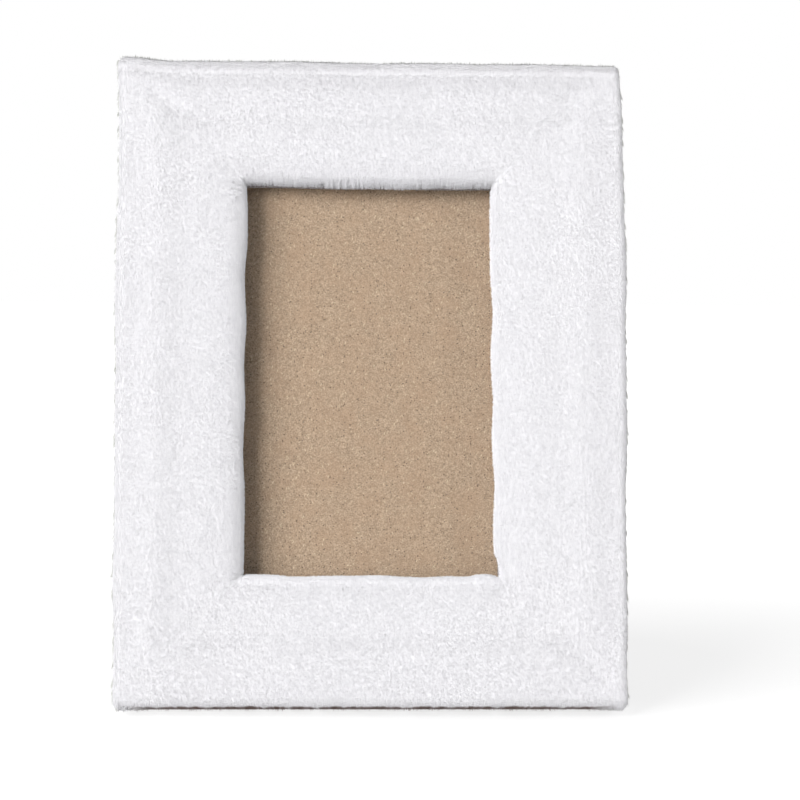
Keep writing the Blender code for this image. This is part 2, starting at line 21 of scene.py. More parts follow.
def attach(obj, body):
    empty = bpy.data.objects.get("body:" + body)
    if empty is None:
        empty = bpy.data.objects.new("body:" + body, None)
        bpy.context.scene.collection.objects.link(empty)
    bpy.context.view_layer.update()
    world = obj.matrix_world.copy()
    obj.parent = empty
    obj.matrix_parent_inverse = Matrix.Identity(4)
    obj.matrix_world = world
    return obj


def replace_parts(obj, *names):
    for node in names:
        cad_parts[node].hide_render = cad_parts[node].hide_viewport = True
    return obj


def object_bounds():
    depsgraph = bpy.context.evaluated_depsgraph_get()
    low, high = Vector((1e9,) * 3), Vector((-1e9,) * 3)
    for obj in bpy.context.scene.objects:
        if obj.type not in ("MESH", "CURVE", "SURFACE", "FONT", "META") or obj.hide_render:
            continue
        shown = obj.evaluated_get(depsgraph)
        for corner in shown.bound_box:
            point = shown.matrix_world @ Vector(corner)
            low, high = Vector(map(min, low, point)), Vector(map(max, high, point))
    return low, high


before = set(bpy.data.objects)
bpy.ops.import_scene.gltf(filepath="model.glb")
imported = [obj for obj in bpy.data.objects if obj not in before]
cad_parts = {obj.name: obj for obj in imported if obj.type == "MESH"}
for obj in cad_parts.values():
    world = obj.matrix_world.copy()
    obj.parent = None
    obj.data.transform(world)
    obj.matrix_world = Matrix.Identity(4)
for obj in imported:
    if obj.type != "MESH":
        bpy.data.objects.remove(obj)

LOG = logging.getLogger("plush_frame")
MM = 0.001
FULL_TURN = 2 * math.pi
QUARTER_TURN = math.pi / 2
FORWARD = np.array((0.0, -1.0, 0.0))
WELD_REACH = 1e-6
ROUNDED_FROM = math.radians(40)
SHARP_FROM = math.radians(38)

Colour = tuple[float, float, float]
Socket = bpy.types.NodeSocket
Input = Union[Socket, float, Sequence[float]]


def as_lists(corners: tuple[Vector, Vector]) -> list[list[float]]:
    """Turns two corners into plain lists of numbers."""
    return [list(corner) for corner in corners]


PACKED_BOX = as_lists(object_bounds())


# Places

@dataclass(frozen=True)
class FaceAxes:
    """Axes of a flat piece: x across, y from its front to its back, z up its face.

    The origin is the middle of the piece's front face.
    """

    origin: np.ndarray
    turn: np.ndarray

    @classmethod
    def measured(cls, node: bpy.types.Object) -> "FaceAxes":
        """Finds the axes of a flat CAD piece from its largest face that looks forward.

        Args:
            node: The CAD node's object.

        Returns:
            The axes, in the row frame.
        """
        fronts = [face for face in node.data.polygons if face.normal.y < 0]
        back = -max(fronts, key=lambda face: face.area).normal
        across = Vector((1.0, 0.0, 0.0))
        turn = np.array([across, back, across.cross(back)]).T
        points = np.array([vertex.co for vertex in node.data.vertices]) @ turn
        low, high = points.min(0), points.max(0)
        middle = np.array([(low[0] + high[0]) / 2, low[1], (low[2] + high[2]) / 2])
        return cls(turn @ middle, turn)

    def world(self, points: np.ndarray) -> np.ndarray:
        """Takes points in these axes to the row frame."""
        return points @ self.turn.T + self.origin

    def local(self, points: np.ndarray) -> np.ndarray:
        """Takes points in the row frame to these axes."""
        return (points - self.origin) @ self.turn

    def box(self, name: str) -> tuple[np.ndarray, np.ndarray]:
        """Measures a CAD node in these axes.

        Args:
            name: The node's name.

        Returns:
            Its lowest and highest corner.
        """
        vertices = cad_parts[name].data.vertices
        points = self.local(np.array([vertex.co for vertex in vertices]))
        return points.min(0), points.max(0)

    def matrix(self, place: Sequence[float]) -> Matrix:
        """Gives the matrix of an object that stands at a place in these axes."""
        turned = Matrix([list(row) for row in self.turn]).to_4x4()
        return Matrix.Translation(Vector(self.world(np.array(place, float)))) @ turned


# Arrays of places

def part_way(way: np.ndarray, width: float = 1.0) -> np.ndarray:
    """Gives how far along a width each value is, from 0 to 1."""
    return np.clip(way / width, 0.0, 1.0)


def eased(share: np.ndarray) -> np.ndarray:
    """Rounds off both ends of a ramp from 0 to 1."""
    return share * share * (3 - 2 * share)


def hump(way: np.ndarray, middle: float, width: float, power: int = 2) -> np.ndarray:
    """Is 1 at a middle and falls off on both sides over a width, with steeper flanks for a higher power."""
    return np.exp(-(((way - middle) / width) ** power))


def dot(first: np.ndarray, second: np.ndarray) -> np.ndarray:
    """Gives the dot product of each pair of rows."""
    return (first * second).sum(1, keepdims=True)


def unit(vectors: np.ndarray) -> np.ndarray:
    """Brings vectors to a length of one."""
    return vectors / np.maximum(np.linalg.norm(vectors, axis=-1, keepdims=True), 1e-12)


# Meshes

def mesh_of(name: str, points: np.ndarray, corners: np.ndarray) -> bpy.types.Mesh:
    """Makes a mesh of triangles or of quads, shaded smooth.

    Args:
        name: The mesh's name.
        points: The vertices, one a row.
        corners: Vertex numbers, one face a row.

    Returns:
        The mesh.
    """
    mesh = bpy.data.meshes.new(name)
    mesh.vertices.add(len(points))
    mesh.vertices.foreach_set("co", points.astype(np.float32).ravel())
    mesh.loops.add(corners.size)
    mesh.loops.foreach_set("vertex_index", corners.astype(np.int32).ravel())
    mesh.polygons.add(len(corners))
    mesh.polygons.foreach_set("loop_start", np.arange(0, corners.size, corners.shape[1], dtype=np.int32))
    mesh.polygons.foreach_set("use_smooth", np.ones(len(corners), bool))
    mesh.update(calc_edges=True)
    mesh.validate()
    return mesh


def set_values(mesh: bpy.types.Mesh, **values: np.ndarray) -> None:
    """Gives each point of a mesh the named values that its finish reads.

    Args:
        mesh: The mesh.
        values: One number for each point, by the value's name.
    """
    for name, numbers in values.items():
        layer = mesh.attributes.new(name, "FLOAT", "POINT")
        layer.data.foreach_set("value", numbers.astype(np.float32).ravel())


def set_map(mesh: bpy.types.Mesh, places: np.ndarray) -> None:
    """Lays each corner of each face out on the map that finishes are baked to."""
    mesh.uv_layers.new(name="OFBake").data.foreach_set("uv", places.astype(np.float32).ravel())


def add_piece(
    name: str,
    mesh: bpy.types.Mesh,
    material: bpy.types.Material,
    body: str,
    matrix: Optional[Matrix] = None,
) -> bpy.types.Object:
    """Adds a mesh to the scene as a piece that rides on a CAD body.

    Args:
        name: The piece's name.
        mesh: Its mesh.
        material: Its finish.
        body: The CAD body that carries it.
        matrix: Where it stands, if its mesh isn't in the row frame.

    Returns:
        The new object.
    """
    mesh.materials.append(material)
    piece = bpy.data.objects.new(name, mesh)
    bpy.context.scene.collection.objects.link(piece)
    if matrix is not None:
        piece.matrix_world = matrix
    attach(piece, body)
    LOG.info("%s: %d faces, on %s", name, len(mesh.polygons), body)
    return piece


def ring(radius: float, level: float, steps: int) -> np.ndarray:
    """Gives a ring of points about the Y axis, at a level along it."""
    angles = np.linspace(0.0, FULL_TURN, steps, endpoint=False)
    return np.stack([radius * np.cos(angles), np.full(steps, level), radius * np.sin(angles)], 1)


def turned_mesh(name: str, rings: Sequence[np.ndarray]) -> bpy.types.Mesh:
    """Makes a mesh from rings of points, closed at both ends.

    Args:
        name: The mesh's name.
        rings: The rings, each of as many points.

    Returns:
        The mesh.
    """
    bm = bmesh.new()
    rows = [[bm.verts.new(place) for place in one] for one in rings]
    for first, second in zip(rows, rows[1:]):
        for number in range(len(first)):
            bm.faces.new((first[number], first[number - 1], second[number - 1], second[number]))
    bm.faces.new(rows[0])
    bm.faces.new(rows[-1][::-1])
    bmesh.ops.recalc_face_normals(bm, faces=bm.faces)
    mesh = bpy.data.meshes.new(name)
    bm.to_mesh(mesh)
    bm.free()
    mesh.shade_smooth()
    mesh.set_sharp_from_angle(angle=SHARP_FROM)
    return mesh


def dress(name: str, material: bpy.types.Material, edge: float = 0.0) -> None:
    """Gives a CAD node its finish, and rounds its edges a little where asked.

    Args:
        name: The node's name.
        material: Its finish.
        edge: The width of the rounding, or 0 for none.
    """
    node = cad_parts[name]
    node.data.materials.clear()
    node.data.materials.append(material)
    if edge:
        node.modifiers.new("Weld", "WELD").merge_threshold = WELD_REACH
        bevel = node.modifiers.new("Edges", "BEVEL")
        bevel.width, bevel.segments = edge, 2
        bevel.limit_method, bevel.angle_limit = "ANGLE", ROUNDED_FROM
        bevel.harden_normals = False
        node.data.shade_smooth()
        node.modifiers.new("Normals", "WEIGHTED_NORMAL").keep_sharp = True
    LOG.info("%s: dressed in %s", name, material.name)


# Material nodes

class NodeTree:
    """The nodes of a material or of the sky."""

    def __init__(self, tree: bpy.types.NodeTree) -> None:
        """Takes the tree that it adds to."""
        self.nodes, self.links = tree.nodes, tree.links

    def give(self, node: bpy.types.Node, inputs: Mapping[Union[str, int], Input]) -> bpy.types.Node:
        """Gives a node its inputs.

        Args:
            node: The node.
            inputs: What each input gets, by its name or number: a socket is linked, and a value is set.

        Returns:
            The same node.
        """
        for name, value in inputs.items():
            socket = node.inputs[name]
            if isinstance(value, Socket):
                self.links.new(value, socket)
            else:
                socket.default_value = (*value, 1.0) if socket.type == "RGBA" else value
        return node

    def add(self, kind: str, inputs: Mapping[Union[str, int], Input], **options: str) -> bpy.types.Node:
        """Adds a node.

        Args:
            kind: Its type, without the word that starts them all.
            inputs: What each input gets.
            options: Its own settings.

        Returns:
            The node.
        """
        node = self.nodes.new(f"ShaderNode{kind}")
        for name, value in options.items():
            setattr(node, name, value)
        return self.give(node, inputs)

    def object_place(self) -> Socket:
        """Gives the point's place on the piece, in metres."""
        return self.add("TexCoord", {}).outputs["Object"]

    def face_place(self) -> Socket:
        """Gives the place in the leaning face's own axes: X across, Y up the face, Z to the front."""
        return self.turned(self.object_place(), (LEAN_DEGREES - 90.0, 0.0, 0.0))

    def turned(
        self, place: Socket,
        angles: Sequence[float] = (0.0, 0.0, 0.0), scale: Sequence[float] = (1.0, 1.0, 1.0)
    ) -> Socket:
        """Turns coordinates by angles in degrees, and then stretches them along their new axes."""
        turn = self.add("Mapping", {"Vector": place, "Rotation": [math.radians(angle) for angle in angles]})
        return self.add("Mapping", {"Vector": turn.outputs["Vector"], "Scale": scale}).outputs["Vector"]

    def noise(self, place: Socket, scale: float, detail: float = 2.0, roughness: float = 0.5) -> Socket:
        """Gives a noise value whose features are about one over the scale wide."""
        inputs = {"Vector": place, "Scale": scale, "Detail": detail, "Roughness": roughness}
        return self.add("TexNoise", inputs).outputs["Fac"]

    def specks(self, place: Socket, scale: float, radius: float, share: float) -> Socket:
        """Marks small scattered specks.

        Args:
            place: The coordinates.
            scale: Cells per metre, each of which may hold a speck.
            radius: A speck's radius as a share of its cell.
            share: How many of the cells hold one.

        Returns:
            A mask, 1 inside a speck.
        """
        cells = self.add("TexVoronoi", {"Vector": place, "Scale": scale}, voronoi_dimensions="2D").outputs
        parts = self.add("SeparateColor", {"Color": cells["Color"]}).outputs
        inside = self.ranged(cells["Distance"], radius, radius * 0.6)
        return self.math("MULTIPLY", inside, self.math("LESS_THAN", parts["Red"], share))

    def ranged(
        self, value: Socket, low: float, high: float, new_low: float = 0.0, new_high: float = 1.0
    ) -> Socket:
        """Stretches a value from one range to another, and clamps it there."""
        inputs = {"Value": value, "From Min": low, "From Max": high, "To Min": new_low, "To Max": new_high}
        return self.add("MapRange", inputs).outputs["Result"]

    def math(self, operation: str, first: Input, second: Input) -> Socket:
        """Works on two values, each a socket or a plain number."""
        return self.add("Math", {0: first, 1: second}, operation=operation).outputs["Value"]

    def blend(self, share: Socket, first: Input, second: Input) -> Socket:
        """Mixes two colours, each a socket or a plain colour."""
        return self.add("Mix", {"Factor": share, 6: first, 7: second}, data_type="RGBA").outputs[2]

    def choose(self, share: Socket, first: bpy.types.Node, second: bpy.types.Node) -> Socket:
        """Mixes what two shader nodes give."""
        inputs = {"Fac": share, 1: first.outputs[0], 2: second.outputs[0]}
        return self.add("MixShader", inputs).outputs["Shader"]

    def seen(self) -> Socket:
        """Tells the rays from the camera, a mirror or glass from the rest.

        Returns:
            1 for such rays, and 0 for the rest.
        """
        rays = self.add("LightPath", {}).outputs
        mirrored = self.math("MAXIMUM", rays["Is Camera Ray"], rays["Is Glossy Ray"])
        return self.math("MAXIMUM", mirrored, rays["Is Transmission Ray"])


class Shader(NodeTree):
    """One material with a Principled shader, and the nodes that feed it."""

    def __init__(self, name: str) -> None:
        """Starts the material.

        Args:
            name: The material's name.
        """
        self.material = bpy.data.materials.new(name)
        self.material.use_nodes = True
        super().__init__(self.material.node_tree)
        self.principled = self.nodes["Principled BSDF"]

    def attribute(self, name: str) -> Socket:
        """Gives the value of that name that the mesh carries."""
        return self.add("Attribute", {}, attribute_name=name).outputs["Fac"]

    def bump(self, height: Socket, depth: float, strength: float) -> Socket:
        """Gives the normal of a surface that a height value raises, as deep as said in metres."""
        return self.add("Bump", {"Strength": strength, "Distance": depth, "Height": height}).outputs["Normal"]

    def finish(self, **inputs: Input) -> bpy.types.Material:
        """Gives the Principled shader its inputs, by names with underscores, and hands over the material."""
        self.give(self.principled, {name.replace("_", " "): value for name, value in inputs.items()})
        return self.material

    def show(self, surface: Socket) -> bpy.types.Material:
        """Shows another shader than the Principled one, and hands over the material."""
        self.give(self.nodes["Material Output"], {"Surface": surface})
        return self.material


# Finishes

@dataclass(frozen=True)
class PlushFinish:
    """White short-pile plush: matt, a little lavender, streaked along the nap.

    Along the bottom edge the pile is painted brown as the contact shadow, and the wall of the opening as the
    lip's shadow; the same brown is the cloth's real back inside. Shade is also painted on the rims, the lips,
    the top shoulder and the outline's tufts.
    """

    bright: Colour = (0.900, 0.893, 0.915)
    dull: Colour = (0.800, 0.793, 0.820)
    # Brown for the painted contact shadow along the bottom edge, the painted shadow on the opening's wall and
    # the cloth's real back; a darker white for random tone and painted shade; a grey for painted shade on the
    # outline's tufts.
    painted_shadow_and_backing_brown: Colour = (0.150, 0.110, 0.100)
    tone_and_painted_shade: Colour = (0.60, 0.59, 0.61)
    greyed: Colour = (0.58, 0.59, 0.55)
    streaks: float = 1900.0
    locks: float = 420.0
    wander: float = 130.0
    # The painted contact shadow's fade at the sides, its soft upper edge and its wander.
    pile_thinning_and_painted_shadow_fade: float = 9 * MM
    painted_shadow_edge: float = 0.5 * MM
    painted_shadow_wander: float = 1.1 * MM

    def material(self, painted_shadow_below: float, painted_shadow_to: float) -> bpy.types.Material:
        """Builds the material. Each strand's random tone and its painted shade, on the rims, the lips, the
        top shoulder and the outline's tufts, come from its attributes.

        Args:
            painted_shadow_below: The place up the face, from the piece's own origin, under which the brown
                painted shadow shows.
            painted_shadow_to: How far to each side the painted shadow reaches.

        Returns:
            The material.
        """
        shader = Shader("plush")
        face = shader.face_place()
        fine = shader.noise(shader.turned(face, scale=(1.0, 0.2, 0.2)), self.streaks, 2.0, 0.6)
        locks = shader.noise(shader.turned(face, scale=(1.0, 0.3, 0.3)), self.locks)
        fine, locks = shader.ranged(fine, 0.3, 0.7, 0.0, 0.75), shader.ranged(locks, 0.3, 0.7, 0.0, 0.25)
        colour = shader.blend(shader.math("ADD", fine, locks), self.dull, self.bright)
        # Painted shade: the shade value darkens strands by their random tone and by painted shade on the
        # rims, the lips and the top shoulder.
        colour = shader.blend(shader.attribute("shade"), colour, self.tone_and_painted_shade)
        # Painted shadow: a brown band along the bottom edge stands for the contact shadow, and the same brown
        # on the opening's wall for the lip's shadow.
        spot = shader.add("SeparateXYZ", {"Vector": face}).outputs
        wander = shader.noise(shader.turned(face, scale=(1.0, 0.0, 0.0)), self.wander, 4.0, 0.65)
        sunk = shader.ranged(wander, 0.3, 0.7, -self.painted_shadow_wander / 2, self.painted_shadow_wander / 2)
        height = shader.math("ADD", spot["Y"], sunk)
        painted_base_shadow = shader.ranged(height, painted_shadow_below, painted_shadow_below - self.painted_shadow_edge)
        across = shader.math("ABSOLUTE", spot["X"], 0.0)
        painted_base_shadow = shader.math("MULTIPLY", painted_base_shadow, shader.ranged(across, painted_shadow_to, painted_shadow_to - self.pile_thinning_and_painted_shadow_fade))
        bare = shader.math("MAXIMUM", painted_base_shadow, shader.attribute("bare"))
        colour = shader.blend(bare, colour, self.painted_shadow_and_backing_brown)
        # Painted shade: the outline's tufts and stray hairs at the rim turn grey.
        colour = shader.blend(shader.attribute("greyed"), colour, self.greyed)
        return shader.finish(
            Base_Color=colour, Roughness=0.9, Sheen_Weight=0.45, Sheen_Roughness=0.5, Specular_IOR_Level=0.1
        )


@dataclass(frozen=True)
class FibreboardFinish:
    """Raw fibreboard: a fine tan fleck with dark specks and short pale fibres."""

    light: Colour = (0.66, 0.488, 0.357)
    dark: Colour = (0.212, 0.142, 0.098)
    warm: Colour = (0.445, 0.299, 0.206)
    speck: Colour = (0.045, 0.030, 0.022)
    fibre: Colour = (0.84, 0.70, 0.50)
    fleck: float = 2300.0
    patch: float = 100.0
    specks: tuple[tuple[float, float, float], ...] = ((420.0, 0.11, 0.22), (1000.0, 0.20, 0.10))
    fibre_angles: tuple[float, ...] = (25.0, -38.0, 72.0, 110.0)

    def material(self) -> bpy.types.Material:
        """Builds the material.

        Returns:
            The material.
        """
        shader = Shader("raw_fibreboard")
        face = shader.face_place()
        fleck = shader.noise(face, self.fleck, 3.0, 0.75)
        base = shader.blend(shader.ranged(fleck, 0.32, 0.68), self.dark, self.light)
        patches = shader.ranged(shader.noise(face, self.patch, 3.0), 0.42, 0.66, 0.0, 0.4)
        base = shader.blend(patches, base, self.warm)
        for number, angle in enumerate(self.fibre_angles):
            stretched = shader.turned(face, (0.0, 0.0, angle), (0.22, 1.0, 1.0))
            fibres = shader.specks(stretched, 1500.0 - 150.0 * number, 0.16, 0.035)
            base = shader.blend(shader.math("MULTIPLY", fibres, 0.7), base, self.fibre)
        for scale, radius, share in self.specks:
            spots = shader.specks(face, scale, radius, share)
            base = shader.blend(shader.math("MULTIPLY", spots, 0.9), base, self.speck)
        raised = shader.bump(fleck, 0.05 * MM, 0.6)
        return shader.finish(Base_Color=base, Roughness=0.9, Specular_IOR_Level=0.1, Normal=raised)


@dataclass(frozen=True)
class VelourFinish:
    """Charcoal velour paper: matt and a little fuzzy, with a faint mottle."""

    light: Colour = (0.050, 0.050, 0.056)
    dark: Colour = (0.026, 0.026, 0.030)
    fuzz: Colour = (0.75, 0.75, 0.8)

    def material(self) -> bpy.types.Material:
        """Builds the material.

        Returns:
            The material.
        """
        shader = Shader("charcoal_velour")
        place = shader.object_place()
        nap = shader.noise(place, 2600.0, 3.0, 0.6)
        mottle = shader.ranged(shader.noise(place, 140.0), 0.3, 0.7, 0.7, 1.3)
        share = shader.ranged(shader.math("MULTIPLY", nap, mottle), 0.3, 0.7)
        return shader.finish(
            Base_Color=shader.blend(share, self.dark, self.light), Roughness=0.95, Sheen_Weight=0.35,
            Sheen_Roughness=0.45, Sheen_Tint=self.fuzz, Specular_IOR_Level=0.15,
            Normal=shader.bump(nap, 0.12 * MM, 0.8),
        )


@dataclass(frozen=True)
class SteelFinish:
    """Zinc-plated steel with fine rubbing marks."""

    bright: Colour = (0.42, 0.425, 0.42)
    dull: Colour = (0.26, 0.27, 0.28)

    def material(self) -> bpy.types.Material:
        """Builds the material.

        Returns:
            The material.
        """
        shader = Shader("zinc_plated_steel")
        place = shader.object_place()
        cloud = shader.noise(place, 320.0, 3.0)
        rubbed = shader.noise(shader.turned(place, (0.0, 20.0, 0.0), (0.06, 1.0, 1.0)), 5200.0)
        return shader.finish(
            Base_Color=shader.blend(shader.ranged(cloud, 0.35, 0.65), self.dull, self.bright),
            Roughness=shader.ranged(shader.math("ADD", cloud, rubbed), 0.7, 1.3, 0.24, 0.46),
            Metallic=1.0, Normal=shader.bump(rubbed, 0.012 * MM, 0.5),
        )


@dataclass(frozen=True)
class FoamFinish:
    """Cream polyurethane foam, with its open cells; their hollows are painted darker as shade."""

    # The hollow's colour is painted shade; the wall's is the foam's own.
    cell: Colour = (0.55, 0.52, 0.42)
    wall: Colour = (0.82, 0.79, 0.67)

    def material(self) -> bpy.types.Material:
        """Builds the material.

        Returns:
            The material.
        """
        shader = Shader("cream_foam")
        cells = shader.add("TexVoronoi", {"Vector": shader.object_place(), "Scale": 1800.0}).outputs
        depth = shader.ranged(cells["Distance"], 0.1, 0.6)
        # Painted shade: darker colour deep in each cell.
        colour = shader.blend(depth, self.cell, self.wall)
        return shader.finish(Base_Color=colour, Roughness=0.9, Normal=shader.bump(depth, 0.2 * MM, 0.5))


@dataclass(frozen=True)
class PaneFinish:
    """Clear picture glass with a coating that takes off most of its reflection."""

    tint: Colour = (0.99, 1.0, 0.995)
    index: float = 1.16

    def material(self) -> bpy.types.Material:
        """Builds the material, a mirror over a see-through sheet.

        Returns:
            The material.
        """
        shader = Shader("clear_glass")
        clear = shader.add("BsdfTransparent", {"Color": self.tint})
        shader.finish(Base_Color=(1.0, 1.0, 1.0), Roughness=0.02, Metallic=1.0)
        rim = shader.add("Fresnel", {"IOR": self.index}).outputs["Fac"]
        return shader.show(shader.choose(rim, clear, shader.principled))


# The plush

@dataclass(frozen=True)
class Ripple:
    """A smooth uneven field over the face, made of crossing waves."""

    seed: int
    longest: float
    shortest: float
    waves: int = 7

    def at(self, x: np.ndarray, z: np.ndarray) -> np.ndarray:
        """Gives the field, mostly between -1 and 1.

        Args:
            x: Places across the face.
            z: Places up the face.

        Returns:
            One value for each place.
        """
        draw = np.random.default_rng(self.seed)
        total = np.zeros_like(x)
        for _ in range(self.waves):
            length = draw.uniform(self.shortest, self.longest)
            heading, start = draw.uniform(0.0, FULL_TURN, 2)
            total += np.sin((x * math.cos(heading) + z * math.sin(heading)) * FULL_TURN / length + start)
        return total / math.sqrt(self.waves / 2) / 1.6


@dataclass
class Skin:
    """A grid of points round the frame, with what grows on it and how deep the ground lies under it.

    Rows run across the rail's section and columns round the frame. A place's way to the lip
    is measured across the rail, and is less than 0 on the wall of the opening.
    """

    points: np.ndarray
    normals: np.ndarray
    density: np.ndarray
    length: np.ndarray
    to_lip: np.ndarray
    depth: np.ndarray


@dataclass
class Roots:
    """Where strands stand on the skin, one a row, and how the skin bends there."""

    points: np.ndarray
    normals: np.ndarray
    share: np.ndarray
    to_lip: np.ndarray
    way: np.ndarray
    steps: np.ndarray
    normal_steps: np.ndarray

    def kept(self, chosen: np.ndarray) -> "Roots":
        """Keeps only the chosen roots."""
        return Roots(*(values[..., chosen, :] for values in vars(self).values()))

    def bend(self, along: np.ndarray) -> np.ndarray:
        """Gives how sharply the skin falls away in a direction.

        Args:
            along: Unit directions along the skin, one for each root.

        Returns:
            The curvature, in turns of one radian a metre.
        """
        down, over = self.steps
        dd, do, oo = dot(down, down), dot(down, over), dot(over, over)
        rd, ro = dot(along, down), dot(along, over)
        size = np.maximum(dd * oo - do * do, 1e-18)
        first, second = self.normal_steps
        return dot(first * (oo * rd - do * ro) / size + second * (dd * ro - do * rd) / size, along)


@dataclass(frozen=True)
class Strand:
    """How densely one kind of strand stands, its sizes, its disorder, and how it draws together."""

    per_mm2: float
    reach: float
    root_depth: float
    radius: float
    spread: float
    lift: float = 0.0
    clump: float = 0.0


class PileKind(Enum):
    """The kinds of strand: the combed pile, stray hairs that stand out of it, and the upper lip's tufts."""

    COMBED = Strand(12.0, 2.3 * MM, 0.7 * MM, 0.085 * MM, 0.09, 0.015 * MM, 0.08)
    STRAY = Strand(0.010, 1.6 * MM, 0.8 * MM, 0.04 * MM, 0.4, 0.20 * MM)
    TUFT = Strand(3.0, 1.2 * MM, 0.5 * MM, 0.24 * MM, 0.3)


class Lot(Enum):
    """The sets of random numbers that a tuft's cell draws."""

    PLACE = 1
    RAISED = 2
    SHIFT = 7
    SHADE = 9
    SMALL_TEETH = 14
    TEETH = 15
    LARGE_TEETH = 16


def drawn(cells: np.ndarray, lot: Lot) -> np.ndarray:
    """Gives three even random numbers from 0 to 1 for each cell, the same on every run.

    Args:
        cells: Cell numbers, three a row.
        lot: Which set of numbers is wanted.

    Returns:
        Three numbers a row.
    """
    mixed = cells.astype(np.int64) @ np.array([73856093, 19349663, 83492791]) + lot.value * 668265263
    numbers = []
    for _ in range(3):
        for shift, factor in ((15, 739982445), (12, 695872825)):
            mixed = (mixed ^ (mixed >> shift)) * factor & 0x7FFFFFFF
        numbers.append(((mixed >> 7) & 0xFFFF) / 65535)
    return np.stack(numbers, 1)


class Rail(Enum):
    """The four rails round the opening, by the way from its middle: across and up."""

    LEFT = (-1, 0)
    RIGHT = (1, 0)
    TOP = (0, 1)
    BOTTOM = (0, -1)


@dataclass(frozen=True)
class Nick:
    """A place where the lip of the opening was pulled out of line."""

    rail: Rail
    place: float
    width: float
    out: float

    def at(self, x: np.ndarray, z: np.ndarray) -> np.ndarray:
        """Gives how far the lip moves out of the opening, along the rail."""
        return self.out * hump(z if self.rail.value[0] else x, self.place, self.width, 4)


